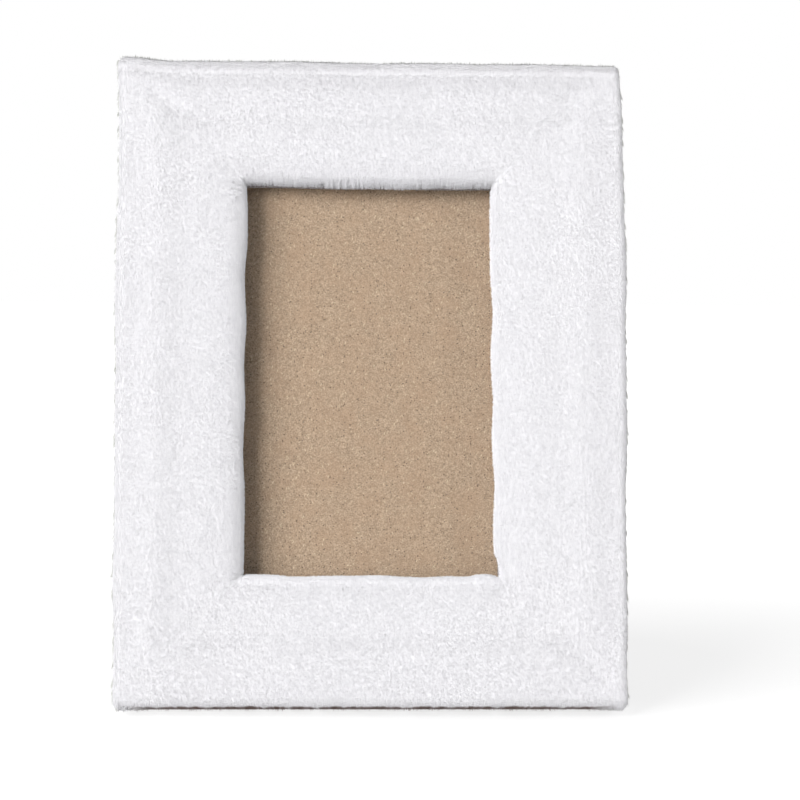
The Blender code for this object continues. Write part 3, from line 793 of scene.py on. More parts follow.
@dataclass
class PlushCover:
    """The plush that wraps the padded rails, as a ground cloth with its pile."""

    axes: FaceAxes
    opening: tuple[float, float] = (88 * MM, 140 * MM)
    roll_width: float = 21 * MM
    roll_over_core: float = 1.2 * MM
    wall_depth: float = 5.2 * MM
    undercut: float = 0.8 * MM
    turned_in: float = 6 * MM
    crown: float = 1.1 * MM
    crown_at_mitre: float = 0.2
    crown_fade: float = 10 * MM
    fullness: float = 3.0
    side_radius: float = 4.4 * MM
    rear_radius: float = 2 * MM
    outer_turn: float = 16 * MM
    corner_radius: float = 2.8 * MM
    opening_radius: float = 0.7 * MM
    ground_depth: float = 0.28 * MM
    pressed_depth: float = 0.25 * MM
    cloth: float = 0.8 * MM
    step: float = 1.6 * MM
    corner_steps: int = 6
    crease: float = 0.9
    unevenness: float = 0.30 * MM
    swell: Ripple = Ripple(3, 70 * MM, 28 * MM)
    pucker: Ripple = Ripple(5, 16 * MM, 9 * MM)
    pucker_share: float = 0.15
    even_base: tuple[float, float] = (2 * MM, 12 * MM)
    even_back: float = 4 * MM
    ear: float = 1.5 * MM
    ear_inset: float = 5 * MM
    ear_reach: float = 8 * MM
    top_drop: float = 0.8 * MM
    edge_reach: float = 20 * MM
    left_bulge: tuple[float, ...] = (-1.1, -1.0, -0.6, -0.2, 0.0, 0.2, 0.7, -0.2, 0.8)
    right_bulge: tuple[float, ...] = (-0.9, -0.8, -0.5, 0.1, 0.7, 1.1, 1.1, 0.8, 0.2)
    lip_out: tuple[float, float, float, float] = (0.6 * MM, -0.6 * MM, 0.8 * MM, -0.2 * MM)
    lip_wave: float = 0.35 * MM
    lip_ripples: tuple[Ripple, Ripple] = (Ripple(31, 45 * MM, 14 * MM, 5), Ripple(32, 45 * MM, 14 * MM, 5))
    lip_fade: float = 8 * MM
    lip_past: float = 9 * MM
    nicks: tuple[Nick, ...] = (
        Nick(Rail.RIGHT, -68 * MM, 5.5 * MM, 1.8 * MM),
        Nick(Rail.BOTTOM, 39.0 * MM, 3.5 * MM, -0.8 * MM),
        Nick(Rail.LEFT, 56 * MM, 12 * MM, -0.6 * MM),
    )
    liner_margin: float = 5 * MM
    combing: tuple[tuple[float, Ripple], ...] = (
        (0.08, Ripple(21, 70 * MM, 22 * MM)), (0.05, Ripple(22, 9 * MM, 4 * MM))
    )
    tuft: tuple[float, float, float] = (0.6 * MM, 0.75 * MM, 2.8 * MM)
    tuft_band: tuple[float, float] = (0.3 * MM, 0.4 * MM)
    shading_limit: float = 22.0
    shading: tuple[float, float] = (0.035, 0.10)
    # Painted nap shade: the range of normals over which it grows, and its weights.
    painted_nap: tuple[float, float] = (0.12, 0.67)
    painted_nap_weights: tuple[float, float] = (0.18, 0.13)
    rim_reach: float = 12 * MM
    # Painted shade on the top rail's shoulder, for the strands and for the ground: amount, depth below the
    # top, width.
    shoulder: tuple[float, float, float] = (0.40, 5.2 * MM, 1.5 * MM)
    ground_painted_shoulder: tuple[float, float, float] = (0.38, 3.8 * MM, 1.6 * MM)
    # Painted contact shadow along the bottom edge: its height and its inset at the sides; the inset and the
    # fade also set where the pile thins under the frame.
    painted_shadow_height: float = 0.6 * MM
    pile_thinning_and_painted_shadow_inset: float = 6 * MM
    pile_thinning_and_painted_shadow_fade: float = 8 * MM
    raised_share: float = 0.4
    raised_height: float = 0.7 * MM
    fringe: tuple[tuple[float, float], ...] = (
        (0.6 * MM, 1.8 * MM), (0.8 * MM, 1.6 * MM), (1.9 * MM, 2.4 * MM), (0.4 * MM, 1.6 * MM)
    )
    fringe_droop: float = 0.8 * MM
    fringe_out: float = 0.1 * MM
    fringe_on_wall: float = 1.5 * MM
    # How far past the lip, on the wall of the opening, the painted shadow starts.
    bare_below: float = 0.4 * MM
    teeth: tuple[tuple[float, float, Lot], ...] = (
        (0.45 * MM, 0.45, Lot.SMALL_TEETH), (1.1 * MM, 0.35, Lot.TEETH), (3.0 * MM, 0.2, Lot.LARGE_TEETH)
    )
    skirt: float = 1.5 * MM
    skirt_height: float = 2.2 * MM
    rim_depth: float = 6.5 * MM
    base_depth: float = 8 * MM
    fade: float = 3 * MM
    ground_gap: float = 0.2 * MM
    pile_gap: float = 0.15 * MM
    faces_a_piece: int = 190_000
    seed: int = 11
    half: np.ndarray = field(init=False)
    front: float = field(init=False)
    back: float = field(init=False)
    rail: float = field(init=False)
    roll_end: float = field(init=False)
    wall_end: float = field(init=False)

    def __post_init__(self) -> None:
        """Reads the outer size and the levels from the CAD cover and the ring under it."""
        low, high = self.axes.box("plush_cover")
        wide = (high[0] - low[0]) / 2
        self.half = np.array([wide, wide + (self.opening[1] - self.opening[0]) / 2])
        self.front, self.back = low[1] + self.crown, high[1]
        self.rail = wide - self.opening[0] / 2
        self.roll_end = self.axes.box("core_ring")[0][1] - self.roll_over_core
        self.wall_end = self.roll_end + self.wall_depth

    def bow(self, turn: np.ndarray) -> tuple[np.ndarray, np.ndarray]:
        """Bends a full, squarish quarter turn, as cloth takes over a stuffed edge.

        Args:
            turn: Angles from 0 to a quarter turn.

        Returns:
            What stands in for their sines and for their cosines.
        """
        up, over, full = np.sin(turn), np.cos(turn).clip(0.0), self.fullness
        size = (up**full + over**full) ** (1 / full)
        return up / size, over / size

    def section(self) -> np.ndarray:
        """Lays out the rail's section from the plush's edge on the back to its edge in the rebate.

        Returns:
            Rows of inset, level, how dense the pile is, how long it is, and how deep the ground lies.
        """
        rows = []

        def add(insets: np.ndarray, levels: np.ndarray, density: float, length: float, depth: float) -> None:
            """Adds a row for each inset and its level."""
            rows.extend([*place, density, length, depth] for place in np.broadcast(insets, levels))

        pressed, full = self.pressed_depth, self.ground_depth
        back, front, end = self.back, self.front, self.roll_end
        add(np.linspace(self.outer_turn, self.liner_margin + 0.3 * MM, 5), back, 0.0, 0.3, pressed)
        add(np.linspace(self.liner_margin, self.rear_radius, 4)[:-1], back, 0.8, 0.5, pressed)
        turn, r = np.linspace(0.0, QUARTER_TURN, 8), self.rear_radius
        add(r - r * np.sin(turn), back - r + r * np.cos(turn), 1.0, 0.7, 0.7 * full)
        add(0.0, np.linspace(back - r, front + self.side_radius, 9)[1:-1], 1.0, 0.9, full)
        risen, inward = self.bow(np.linspace(0.0, QUARTER_TURN, 11))
        r = self.side_radius
        add(r - r * inward, front + r - r * risen, 1.0, 1.0, full)
        share, start = np.linspace(0.0, 1.0, 14)[1:-1], self.rail - self.roll_width
        add(r + (start - r) * share, front - self.crown * np.sin(math.pi * share) ** 2, 1.0, 1.0, full)
        across, down = self.bow(np.linspace(0.0, QUARTER_TURN, 24))
        add(start + self.roll_width * across, end - (end - front) * down, 1.0, 1.0, full)
        under = self.rail - self.undercut * np.linspace(0.0, 1.0, 5)
        wall = np.linspace(end, self.wall_end, 5)
        add(under[1:2], wall[1:2], 0.5, 0.4, pressed)
        add(under[2:], wall[2:], 0.1, 0.3, pressed)
        add(np.linspace(under[-1], self.rail - self.turned_in, 4)[1:], self.wall_end, 0.0, 0.3, pressed)
        return np.array(rows)

    def loop(self, inset: float) -> np.ndarray:
        """Lays points round the frame at one inset, as many on every loop.

        Args:
            inset: How far in from the outer edge the loop lies.

        Returns:
            Rows of x and z.
        """
        radius = max(self.corner_radius - inset, self.opening_radius)
        straight = self.half - inset - radius
        corners = []
        for number, side in enumerate(((1, 1), (-1, 1), (-1, -1), (1, -1))):
            angles = np.radians(90 * number) + np.linspace(0.0, QUARTER_TURN, self.corner_steps + 1)
            corners.append(straight * side + radius * np.stack([np.cos(angles), np.sin(angles)], 1))
        loop = []
        for number, (corner, after) in enumerate(zip(corners, corners[1:] + corners[:1])):
            count = max(2, round(2 * self.half[number % 2] / self.step))
            share = np.linspace(0.0, 1.0, count + 1)[1:-1, None]
            loop += [corner, corner[-1] * (1 - share) + after[0] * share]
        return np.concatenate(loop)

    def roll_level(self, distance: np.ndarray) -> np.ndarray:
        """Gives the level of the roll, which is lower than the front.

        Args:
            distance: Distances from the opening.

        Returns:
            The level at each.
        """
        left = 1 - part_way(distance, self.roll_width)
        risen = part_way(1 - left**self.fullness) ** (1 / self.fullness)
        return self.roll_end - (self.roll_end - self.front) * risen

    def softened(self, points: np.ndarray, rows: np.ndarray) -> np.ndarray:
        """Eases the mitre creases: sharp at the opening's corners, and fading outwards.

        Args:
            points: The skin in the frame's axes, row by row.
            rows: The section's rows.

        Returns:
            The skin's levels.
        """
        levels = points[..., 1].copy()
        start = self.rail - self.roll_width
        across = np.abs(points[..., 0]) - self.opening[0] / 2
        up = np.abs(points[..., 2]) - self.opening[1] / 2
        off_mitre = np.abs(across - up)
        rolled = (rows[:, 0] > start) & (rows[:, 1] < self.roll_end - 1e-6)
        distance = np.clip(self.rail - rows[:, :1], 0.0, None) + 0.0 * across
        reach = np.maximum(self.crease * distance, 1e-5)
        near = part_way(1 - off_mitre / reach)
        levels[rolled] = self.roll_level(distance + near**2 * reach / 4)[rolled]
        crowned = (rows[:, 0] > self.side_radius) & (rows[:, 0] < start) & (rows[:, 1] <= self.front)
        lost = (1 - self.crown_at_mitre) * (1 - eased(part_way(off_mitre, self.crown_fade)))
        levels[crowned] += ((self.front - rows[:, 1:2]) * lost)[crowned]
        return levels

    def pushed(self, points: np.ndarray, normals: np.ndarray) -> np.ndarray:
        """Pushes the skin out or in as padding worked by hand does.

        Args:
            points: The skin in the frame's axes.
            normals: Its normals.

        Returns:
            The new points.
        """
        x, y, z = np.moveaxis(points, -1, 0)
        push = self.unevenness * (self.swell.at(x, z) + self.pucker_share * self.pucker.at(x, z + y))
        kept = part_way(z + self.half[1] - self.even_base[0], self.even_base[1])
        kept = kept * part_way(self.back - y, self.even_back)
        moved = points + normals * (push * kept)[..., None]
        corner = np.hypot(x + self.half[0] - self.ear_inset, z - self.half[1])
        moved += (self.ear * hump(corner, 0.0, self.ear_reach) * kept)[..., None] * np.array((-0.3, 0.0, 1.0))
        moved[..., 2] -= self.top_drop * part_way(z - self.half[1] + self.edge_reach, self.edge_reach) ** 2
        moved[..., 0] += self.side_shift(x, z)
        across, up = self.lip_shift(x, y, z)
        moved[..., 0] += across
        moved[..., 2] += up
        return moved

    def side_shift(self, x: np.ndarray, z: np.ndarray) -> np.ndarray:
        """Gives how far the outer sides bulge at mid height and draw in towards the bottom.

        Args:
            x: Places across the face.
            z: Places up the face.

        Returns:
            The shift across.
        """
        heights = np.linspace(-1.0, 1.0, len(self.left_bulge))
        left = np.interp(z / self.half[1], heights, np.array(self.left_bulge) * MM)
        right = np.interp(z / self.half[1], heights, np.array(self.right_bulge) * MM)
        edge = part_way(np.abs(x) - self.half[0] + self.edge_reach, self.edge_reach) ** 2
        return np.where(x > 0, right, -left) * edge

    def lip_shift(self, x: np.ndarray, y: np.ndarray, z: np.ndarray) -> tuple[np.ndarray, np.ndarray]:
        """Gives how far the opening's lip strays from its rectangle, as cloth pulled by hand does.

        Args:
            x: Places across the face.
            y: Levels, from the front to the back.
            z: Places up the face.

        Returns:
            The shift across and the shift up.
        """
        wide, high = self.opening[0] / 2, self.opening[1] / 2
        depth = part_way(self.wall_end - y, self.wall_depth)

        def near(distance: np.ndarray) -> np.ndarray:
            """Falls from 1 at the lip to 0 over the roll."""
            return part_way(1 - np.abs(distance) / self.lip_fade) ** 2 * depth

        def inside(place: np.ndarray, half: float) -> np.ndarray:
            """Is 1 along the side, and falls to 0 past its ends."""
            return part_way(half + self.lip_past - np.abs(place), self.lip_past)

        beside, above = self.lip_ripples
        across = self.lip_wave * beside.at(z + 0.3 * MM * np.sign(x), np.sign(x))
        up = self.lip_wave * above.at(x, np.sign(z))
        for rail, out in zip(Rail, self.lip_out):
            out = out + sum(nick.at(x, z) for nick in self.nicks if nick.rail is rail)
            across += np.where(x * rail.value[0] > 0, rail.value[0] * out, 0.0)
            up += np.where(z * rail.value[1] > 0, rail.value[1] * out, 0.0)
        across, up = across * near(np.abs(x) - wide), up * near(np.abs(z) - high)
        return across * inside(z, high), up * inside(x, wide)

    @staticmethod
    def normals_of(points: np.ndarray) -> np.ndarray:
        """Works out the grid's outward normals from its neighbours."""
        round_it = np.roll(points, -1, 1) - np.roll(points, 1, 1)
        return unit(np.cross(round_it, np.gradient(points, axis=0)))

    def skin(self) -> Skin:
        """Builds the outer skin.

        Returns:
            The skin.
        """
        rows = self.section()
        points = np.array([[(x, level, z) for x, z in self.loop(inset)] for inset, level in rows[:, :2]])
        points[..., 1] = self.softened(points, rows)
        points = self.pushed(points, self.normals_of(points))
        normals = self.normals_of(points)
        wide = np.ones(points.shape[:2])
        under = (normals[..., 2] < -0.9) & (points[..., 2] < -self.half[1] + self.fade)
        outside = np.abs(points[..., 0]) - self.half[0] + self.pile_thinning_and_painted_shadow_inset
        kept = part_way(outside + self.pile_thinning_and_painted_shadow_fade, self.pile_thinning_and_painted_shadow_fade)
        density = np.where(under, kept, 1.0) * rows[:, 2:3]
        walls = (rows[:, 1] > self.roll_end) & (rows[:, 0] > self.rail - self.roll_width)
        to_lip = np.where(walls, self.roll_end - rows[:, 1], self.rail - rows[:, 0])
        length, depth = rows[:, 3:4] * wide, rows[:, 4:5] * wide
        return Skin(points, normals, density, length, to_lip[:, None] * wide, depth)

    def soft(self, normals: np.ndarray) -> np.ndarray:
        """Turns normals towards the front: a deep pile scatters light and shades flatter than a solid.

        Args:
            normals: The skin's normals.

        Returns:
            The normals to shade with; those of the sides and the back stay as they are.
        """
        forward = np.clip(-normals[..., 1:2], -1.0, 1.0)
        tilt = np.maximum(np.arccos(forward), 1e-4)
        limit = math.radians(self.shading_limit)
        kept = limit * (1 - np.exp(-tilt / limit))
        added = np.sin(tilt) / np.tan(kept) - forward
        return unit(normals + added * eased(part_way(forward + 0.6, 0.9)) * FORWARD)

    def painted_nap_shade(self, points: np.ndarray, normals: np.ndarray) -> np.ndarray:
        """Gives the painted shade where the cloth bends along its nap: darker pile there stands in for the
        shade that falls between the strands.

        Args:
            points: Places on the skin.
            normals: The skin's normals there.

        Returns:
            A share from 0 to 1, small over the bottom lip, where the pile stands up into the light.
        """
        low, high = self.painted_nap
        up = normals[..., 2]
        share = part_way(np.abs(up) - low, high - low)
        top_rim = 1.4 * (part_way(up, 0.25) * (1 - 0.7 * part_way(up - 0.4, 0.5)))
        over_lip = share * np.where(up > 0, 0.15, 0.1)
        near_rim = np.abs(points[..., 2]) > self.half[1] - self.rim_reach
        return np.where(near_rim, np.where(up > 0, top_rim, share), over_lip)

    def painted_shoulder_shade(self, heights: np.ndarray, shade: tuple[float, float, float]) -> np.ndarray:
        """Gives the painted shade on the top rail's shoulder, by heights up the face."""
        return shade[0] * hump(self.half[1] - self.top_drop - heights, *shade[1:])

    def build_ground(self, skin: Skin, material: bpy.types.Material) -> None:
        """Builds the ground cloth as a closed solid under the skin.

        Args:
            skin: The outer skin.
            material: The cloth's finish.
        """
        outer = skin.points - skin.normals * skin.depth[..., None]
        sheet = np.concatenate([outer, (outer - skin.normals * self.cloth)[::-1]])
        rows, columns = sheet.shape[:2]
        number = np.arange(rows * columns).reshape(rows, columns)
        below, right = np.roll(number, -1, 0), np.roll(number, -1, 1)
        corners = np.stack([number, right, np.roll(below, -1, 1), below], -1).reshape(-1, 4)
        places = self.axes.world(sheet.reshape(-1, 3))
        places[:, 2] = np.maximum(places[:, 2], self.ground_gap)
        mesh = mesh_of("plush_ground", places, corners)
        faced = np.concatenate([self.soft(skin.normals), -skin.normals[::-1]]).reshape(-1, 3)
        mesh.normals_split_custom_set_from_vertices(faced @ self.axes.turn.T)
        # Painted shade on the top rail's shoulder and where the cloth bends along its nap.
        shade = self.painted_shoulder_shade(skin.points[..., 2], self.ground_painted_shoulder) * (skin.normals[..., 1] < 0)
        shade += self.painted_nap_weights[0] * self.painted_nap_shade(skin.points, skin.normals)
        # Painted shadow on the opening's wall, where the lip's shadow falls; the inner sheet is the cloth's
        # real back.
        bare = part_way(-skin.to_lip / self.bare_below - 1)
        set_values(
            mesh, shade=np.concatenate([shade, np.zeros(shade.shape)]),
            bare=np.concatenate([bare, np.ones(bare.shape)]),
        )
        across, over = np.arange(columns + 1) / columns, np.arange(rows + 1) / rows
        left, low = np.meshgrid(across[:-1], over[:-1])
        right, high = np.meshgrid(across[1:], over[1:])
        set_map(mesh, np.stack([left, low, right, low, right, high, left, high], -1))
        ground = add_piece("plush_ground", mesh, material, "frame")
        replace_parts(ground, "plush_cover")

    def roots(self, skin: Skin, draw: np.random.Generator, per_mm2: float) -> Roots:
        """Scatters roots over the skin, evenly by area.

        Args:
            skin: The outer skin.
            draw: The source of random numbers.
            per_mm2: How many stand on a square millimetre where the pile is full.

        Returns:
            The roots.
        """
        def closed(values: np.ndarray) -> np.ndarray:
            """Repeats a grid's first column after its last."""
            return np.concatenate([values, values[:, :1]], 1)

        grid, normals = closed(skin.points), closed(skin.normals)
        area = np.linalg.norm(np.cross(np.diff(grid, axis=0)[:, :-1], np.diff(grid, axis=1)[:-1]), axis=-1)
        wanted = area / MM**2 * skin.density[:-1] * per_mm2
        count = np.floor(wanted + draw.random(wanted.shape)).astype(int)
        row, column = (np.repeat(index, count[count > 0]) for index in np.nonzero(count))
        s, t = draw.random((2, len(row), 1))

        def between(values: np.ndarray) -> np.ndarray:
            """Samples a grid at each root.

            Args:
                values: The grid, with its first column repeated after its last.

            Returns:
                One row of values for each root.
            """
            first, second = (
                values[at, column] * (1 - t) + values[at, column + 1] * t for at in (row, row + 1)
            )
            return first * (1 - s) + second * s

        def steps(values: np.ndarray) -> np.ndarray:
            """Gives how a grid of values changes from row to row and from column to column."""
            return np.stack([values[row + 1, column], values[row, column + 1]]) - values[row, column]

        way = np.stack([(column + t[:, 0]) / area.shape[1], (row + s[:, 0]) / area.shape[0]], 1)
        share = skin.length[row, column][:, None]
        to_lip = between(closed(skin.to_lip)[..., None])
        return Roots(between(grid), unit(between(normals)), share, to_lip, way, steps(grid), steps(normals))

    def nap(self, roots: Roots, turn: np.ndarray) -> np.ndarray:
        """Gives the direction that the pile lies in: over the top edge, down the face and under.

        Args:
            roots: The roots.
            turn: How far each strand turns aside, in radians.

        Returns:
            Unit directions along the skin.
        """
        normal = roots.normals
        along = np.cross((1.0, 0.0, 0.0), normal)
        along[:, 2] -= np.abs(normal[:, 0])
        along = unit(along - normal * dot(along, normal))
        return along * np.cos(turn)[:, None] + np.cross(normal, along) * np.sin(turn)[:, None]

    def grow(self, roots: Roots, draw: np.random.Generator, kind: PileKind) -> tuple[np.ndarray, ...]:
        """Grows strands that lie along the skin and draw together in tufts.

        Args:
            roots: The roots.
            draw: The source of random numbers.
            kind: What the strands are like.

        Returns:
            The strands' vertices, four each: three round the root, and the tip; how much painted rim shade
            each strand takes; how much darker it is, by random tone and painted shade; and how freely it
            hangs.
        """
        strand, total = kind.value, len(roots.points)
        x, z = roots.points[:, 0], roots.points[:, 2]
        turn = sum(share * ripple.at(x, z) for share, ripple in self.combing)
        along = self.nap(roots, turn + draw.normal(0.0, strand.spread, total))
        fringe, loose = self.into_opening(roots)
        skirt, rim = self.over_base(roots), self.rim_share(roots)
        reach = strand.reach * roots.share * np.clip(1 + 0.18 * draw.normal(size=(total, 1)), 0.5, 1.5)
        bend = roots.bend(along)
        drop = np.clip(bend * reach**2 / 2, -0.15 * reach, 0.45 * reach)
        tip = roots.points + along * reach - roots.normals * drop
        cells, centre = self.tufts(tip)
        pull = centre - tip
        pull -= roots.normals * dot(pull, roots.normals)
        lengthways = along * dot(pull, along)
        raised = part_way(1 - drawn(cells, Lot.RAISED)[:, :1] / self.raised_share) * rim
        gathered = np.maximum(strand.clump, 0.7 * part_way(3 * raised + loose + skirt))
        tip += gathered * (pull - lengthways) + 0.7 * raised * lengthways
        lift = strand.lift * roots.share * np.abs(draw.normal(size=(total, 1)))
        tip += roots.normals * (lift + raised * self.raised_height)
        uneven = self.raggedness(roots) * (0.75 + 0.25 * draw.random((total, 1)))
        tip += loose * (roots.points + fringe * uneven - tip)
        tip += uneven * skirt * self.skirt * np.array((0.0, -0.35, -1.0))
        depth = strand.root_depth * np.sqrt(roots.share) - 3 * np.clip(bend, 0.0, None) * reach**2 / 8
        depth = np.maximum(depth, np.minimum(0.3 * MM, strand.root_depth * roots.share))
        root = roots.points - roots.normals * depth
        axis = unit(tip - root)
        side = unit(np.cross(axis, roots.normals))
        other = np.cross(axis, side)
        radius = strand.radius * np.clip(1 + 0.2 * draw.normal(size=(total, 1)), 0.6, 1.5)
        corners = [
            root + (side * math.cos(angle) + other * math.sin(angle)) * radius
            for angle in np.radians((210.0, 330.0, 90.0))
        ]
        # Painted shade: raised tufts and stray hairs on the rim are made grey, as the outline's shade.
        grey = part_way(part_way(3 * raised) + float(kind is PileKind.STRAY)) * rim
        tuft_share = drawn(cells, Lot.SHADE)[:, 0]
        shade = self.shading[0] * draw.random(total) + self.shading[1] * tuft_share**2
        # Painted shade where the cloth bends along its nap and on the top rail's shoulder, added to each
        # strand's random tone.
        painted_nap = self.painted_nap_shade(roots.points, roots.normals) * (1 - 0.5 * loose[:, 0])
        shade += painted_nap * (self.painted_nap_weights[0] + self.painted_nap_weights[1] * tuft_share)
        shade += self.painted_shoulder_shade(tip[:, 2], self.shoulder)
        return np.stack([*corners, tip], 1), grey[:, 0], shade, loose

    def tufts(self, places: np.ndarray) -> tuple[np.ndarray, np.ndarray]:
        """Finds each place's tuft: long cells along the nap, out of step with their neighbours.

        Args:
            places: Points on the skin.

        Returns:
            Each one's cell number and the middle of its cell.
        """
        size = np.array(self.tuft)
        cells = np.floor(places / size)
        cells[:, 2] = 0
        shift = drawn(cells, Lot.SHIFT)[:, 0]
        cells[:, 2] = np.floor(places[:, 2] / size[2] + shift)
        centre = cells + 0.5 + 0.5 * (drawn(cells, Lot.PLACE) - 0.5)
        centre[:, 2] -= shift
        return cells, centre * size

    def beside(self, roots: Roots) -> np.ndarray:
        """Tells which roots lie beside the opening, with the corners shared along their mitres."""
        across, up = np.abs(roots.points[:, 0]), np.abs(roots.points[:, 2])
        return across - self.opening[0] / 2 > up - self.opening[1] / 2

    def into_opening(self, roots: Roots) -> tuple[np.ndarray, np.ndarray]:
        """Gives the way that the strands at the lip take, straight on into the opening.

        Args:
            roots: The roots.

        Returns:
            Each strand's way from its root, and how much it takes it: 1 at the lip, 0 on the rail.
        """
        x, z, beside = roots.points[:, 0], roots.points[:, 2], self.beside(roots)
        way = np.zeros((len(x), 3))
        way[:, 1] = -self.fringe_out
        zone = np.full((len(x), 1), MM)
        for rail, (length, reach) in zip(Rail, self.fringe):
            across, up = rail.value
            here = beside & (x * across > 0) if across else ~beside & (z * up > 0)
            way[:, 0] -= across * length * here
            way[:, 2] -= (self.fringe_droop if across else up * length) * here
            zone[here] = reach
        loose = part_way(1.3 - roots.to_lip / zone) * part_way(1 + roots.to_lip / self.fringe_on_wall)
        return way, loose

    def raggedness(self, roots: Roots) -> np.ndarray:
        """Tells how far the pile hangs out at each place along an edge: in small teeth, some of them short.

        Args:
            roots: The roots.

        Returns:
            A share of the full length for each root.
        """
        x, z, beside = roots.points[:, 0], roots.points[:, 2], self.beside(roots)
        along, side = np.where(beside, z, x), np.sign(np.where(beside, x, z))
        share = np.zeros(len(along))
        for width, weight, lot in self.teeth:
            share += weight * drawn(np.stack([np.floor(along / width), beside, side], 1), lot)[:, 0]
        return 0.3 + 0.7 * share[:, None]

    def over_base(self, roots: Roots) -> np.ndarray:
        """Tells how near each root is to the front of the frame's lower edge, where the pile hangs down."""
        low = part_way(1.4 - (roots.points[:, 2:] + self.half[1]) / self.skirt_height)
        return low * part_way(self.front + self.base_depth - roots.points[:, 1:2], self.fade)

    def rim_share(self, roots: Roots) -> np.ndarray:
        """Tells how much each root belongs to the frame's rim.

        Args:
            roots: The roots.

        Returns:
            A share for each root: 1 on the outer sides, 0 on the open face.
        """
        beyond = (np.abs(roots.points[:, ::2]) - self.half).max(1, keepdims=True)
        fore = part_way(self.front + self.rim_depth - roots.points[:, 1:2], self.fade)
        edgewise = part_way(1.3 - np.abs(roots.normals[:, 1:2]) / 0.45)
        return part_way(beyond / self.fade + 2.0) * fore * edgewise

    def build_pile(self, skin: Skin, material: bpy.types.Material) -> None:
        """Builds the pile as several pieces round the frame, each of a size that the export keeps.

        Args:
            skin: The outer skin.
            material: The pile's finish.
        """
        draw = np.random.default_rng(self.seed)
        grown = []
        for kind in PileKind:
            roots = self.roots(skin, draw, kind.value.per_mm2)
            if kind is PileKind.TUFT:
                middle, reach = self.tuft_band
                upper = roots.points[:, 2] > self.opening[1] / 2 - 4 * MM
                roots = roots.kept(upper & (np.abs(roots.to_lip[:, 0] - middle) < reach))
            grown.append((*self.grow(roots, draw, kind), roots.normals, roots.way))
        corners, greys, shades, loose, normals, ways = (np.concatenate(parts) for parts in zip(*grown))
        order = np.argsort(ways[:, 0], kind="stable")
        one = np.array([(0, 2, 1), (0, 1, 3), (1, 2, 3), (2, 0, 3)])
        parts = math.ceil(len(order) * len(one) / self.faces_a_piece)
        for number, chosen in enumerate(np.array_split(order, parts), 1):
            points = self.axes.world(corners[chosen].reshape(-1, 3))
            points[:, 2] = np.maximum(points[:, 2], self.pile_gap)
            faces = (np.arange(len(chosen))[:, None, None] * 4 + one).reshape(-1, 3)
            name = f"plush_pile_{number:02d}"
            mesh = mesh_of(name, points, faces)
            self.lay_out(mesh, ways[chosen], faces)
            facing = unit(self.soft(normals[chosen]) + 1.5 * loose[chosen] * FORWARD) @ self.axes.turn.T
            mesh.normals_split_custom_set_from_vertices(np.repeat(facing, 4, 0))
            set_values(mesh, greyed=np.repeat(greys[chosen], 4), shade=np.repeat(shades[chosen], 4))
            add_piece(name, mesh, material, "frame")
        LOG.info("pile: %d strands in %d pieces", len(order), parts)

    @staticmethod
    def lay_out(mesh: bpy.types.Mesh, ways: np.ndarray, faces: np.ndarray) -> None:
        """Lays each strand out as a small patch at its own place on the map for baking.

        Args:
            mesh: The piece's mesh.
            ways: How far round and across the frame each strand stands.
            faces: The faces' corners.
        """
        low, high = ways.min(0), ways.max(0)
        places = 0.01 + 0.98 * (ways - low) / (high - low)
        patch = np.array([(-1.0, -1.0), (1.0, -1.0), (0.0, 1.0), (0.0, -0.3)]) * 0.0015
        set_map(mesh, (places[:, None] + patch).reshape(-1, 2)[faces.ravel()])

    def build(self) -> None:
        """Builds the ground and the pile."""
        bottom = self.axes.origin @ self.axes.turn[:, 2] - self.half[1]
        material = PlushFinish().material(bottom + self.painted_shadow_height, self.half[0] - self.pile_thinning_and_painted_shadow_inset)
        skin = self.skin()
        self.build_ground(skin, material)
        self.build_pile(skin, material)


# Boards and linings

@dataclass
class Boards:
    """The fibreboard rings, the back board and its pane, and the velour on the back."""

    board_edge: float = 0.3 * MM
    lining_edge: float = 0.15 * MM
    glass_edge: float = 0.2 * MM

    def build(self) -> None:
        """Dresses the boards, the pane, the pad and the linings."""
        board = FibreboardFinish().material()
        for name in ("core_ring", "rebate_ring", "back_board", "easel_leg"):
            dress(name, board, self.board_edge)
        velour = VelourFinish().material()
        for name in ("back_liner", "board_lining", "leg_lining"):
            dress(name, velour, self.lining_edge)
        dress("glass_pane", PaneFinish().material(), self.glass_edge)
        dress("foam_pad", FoamFinish().material())


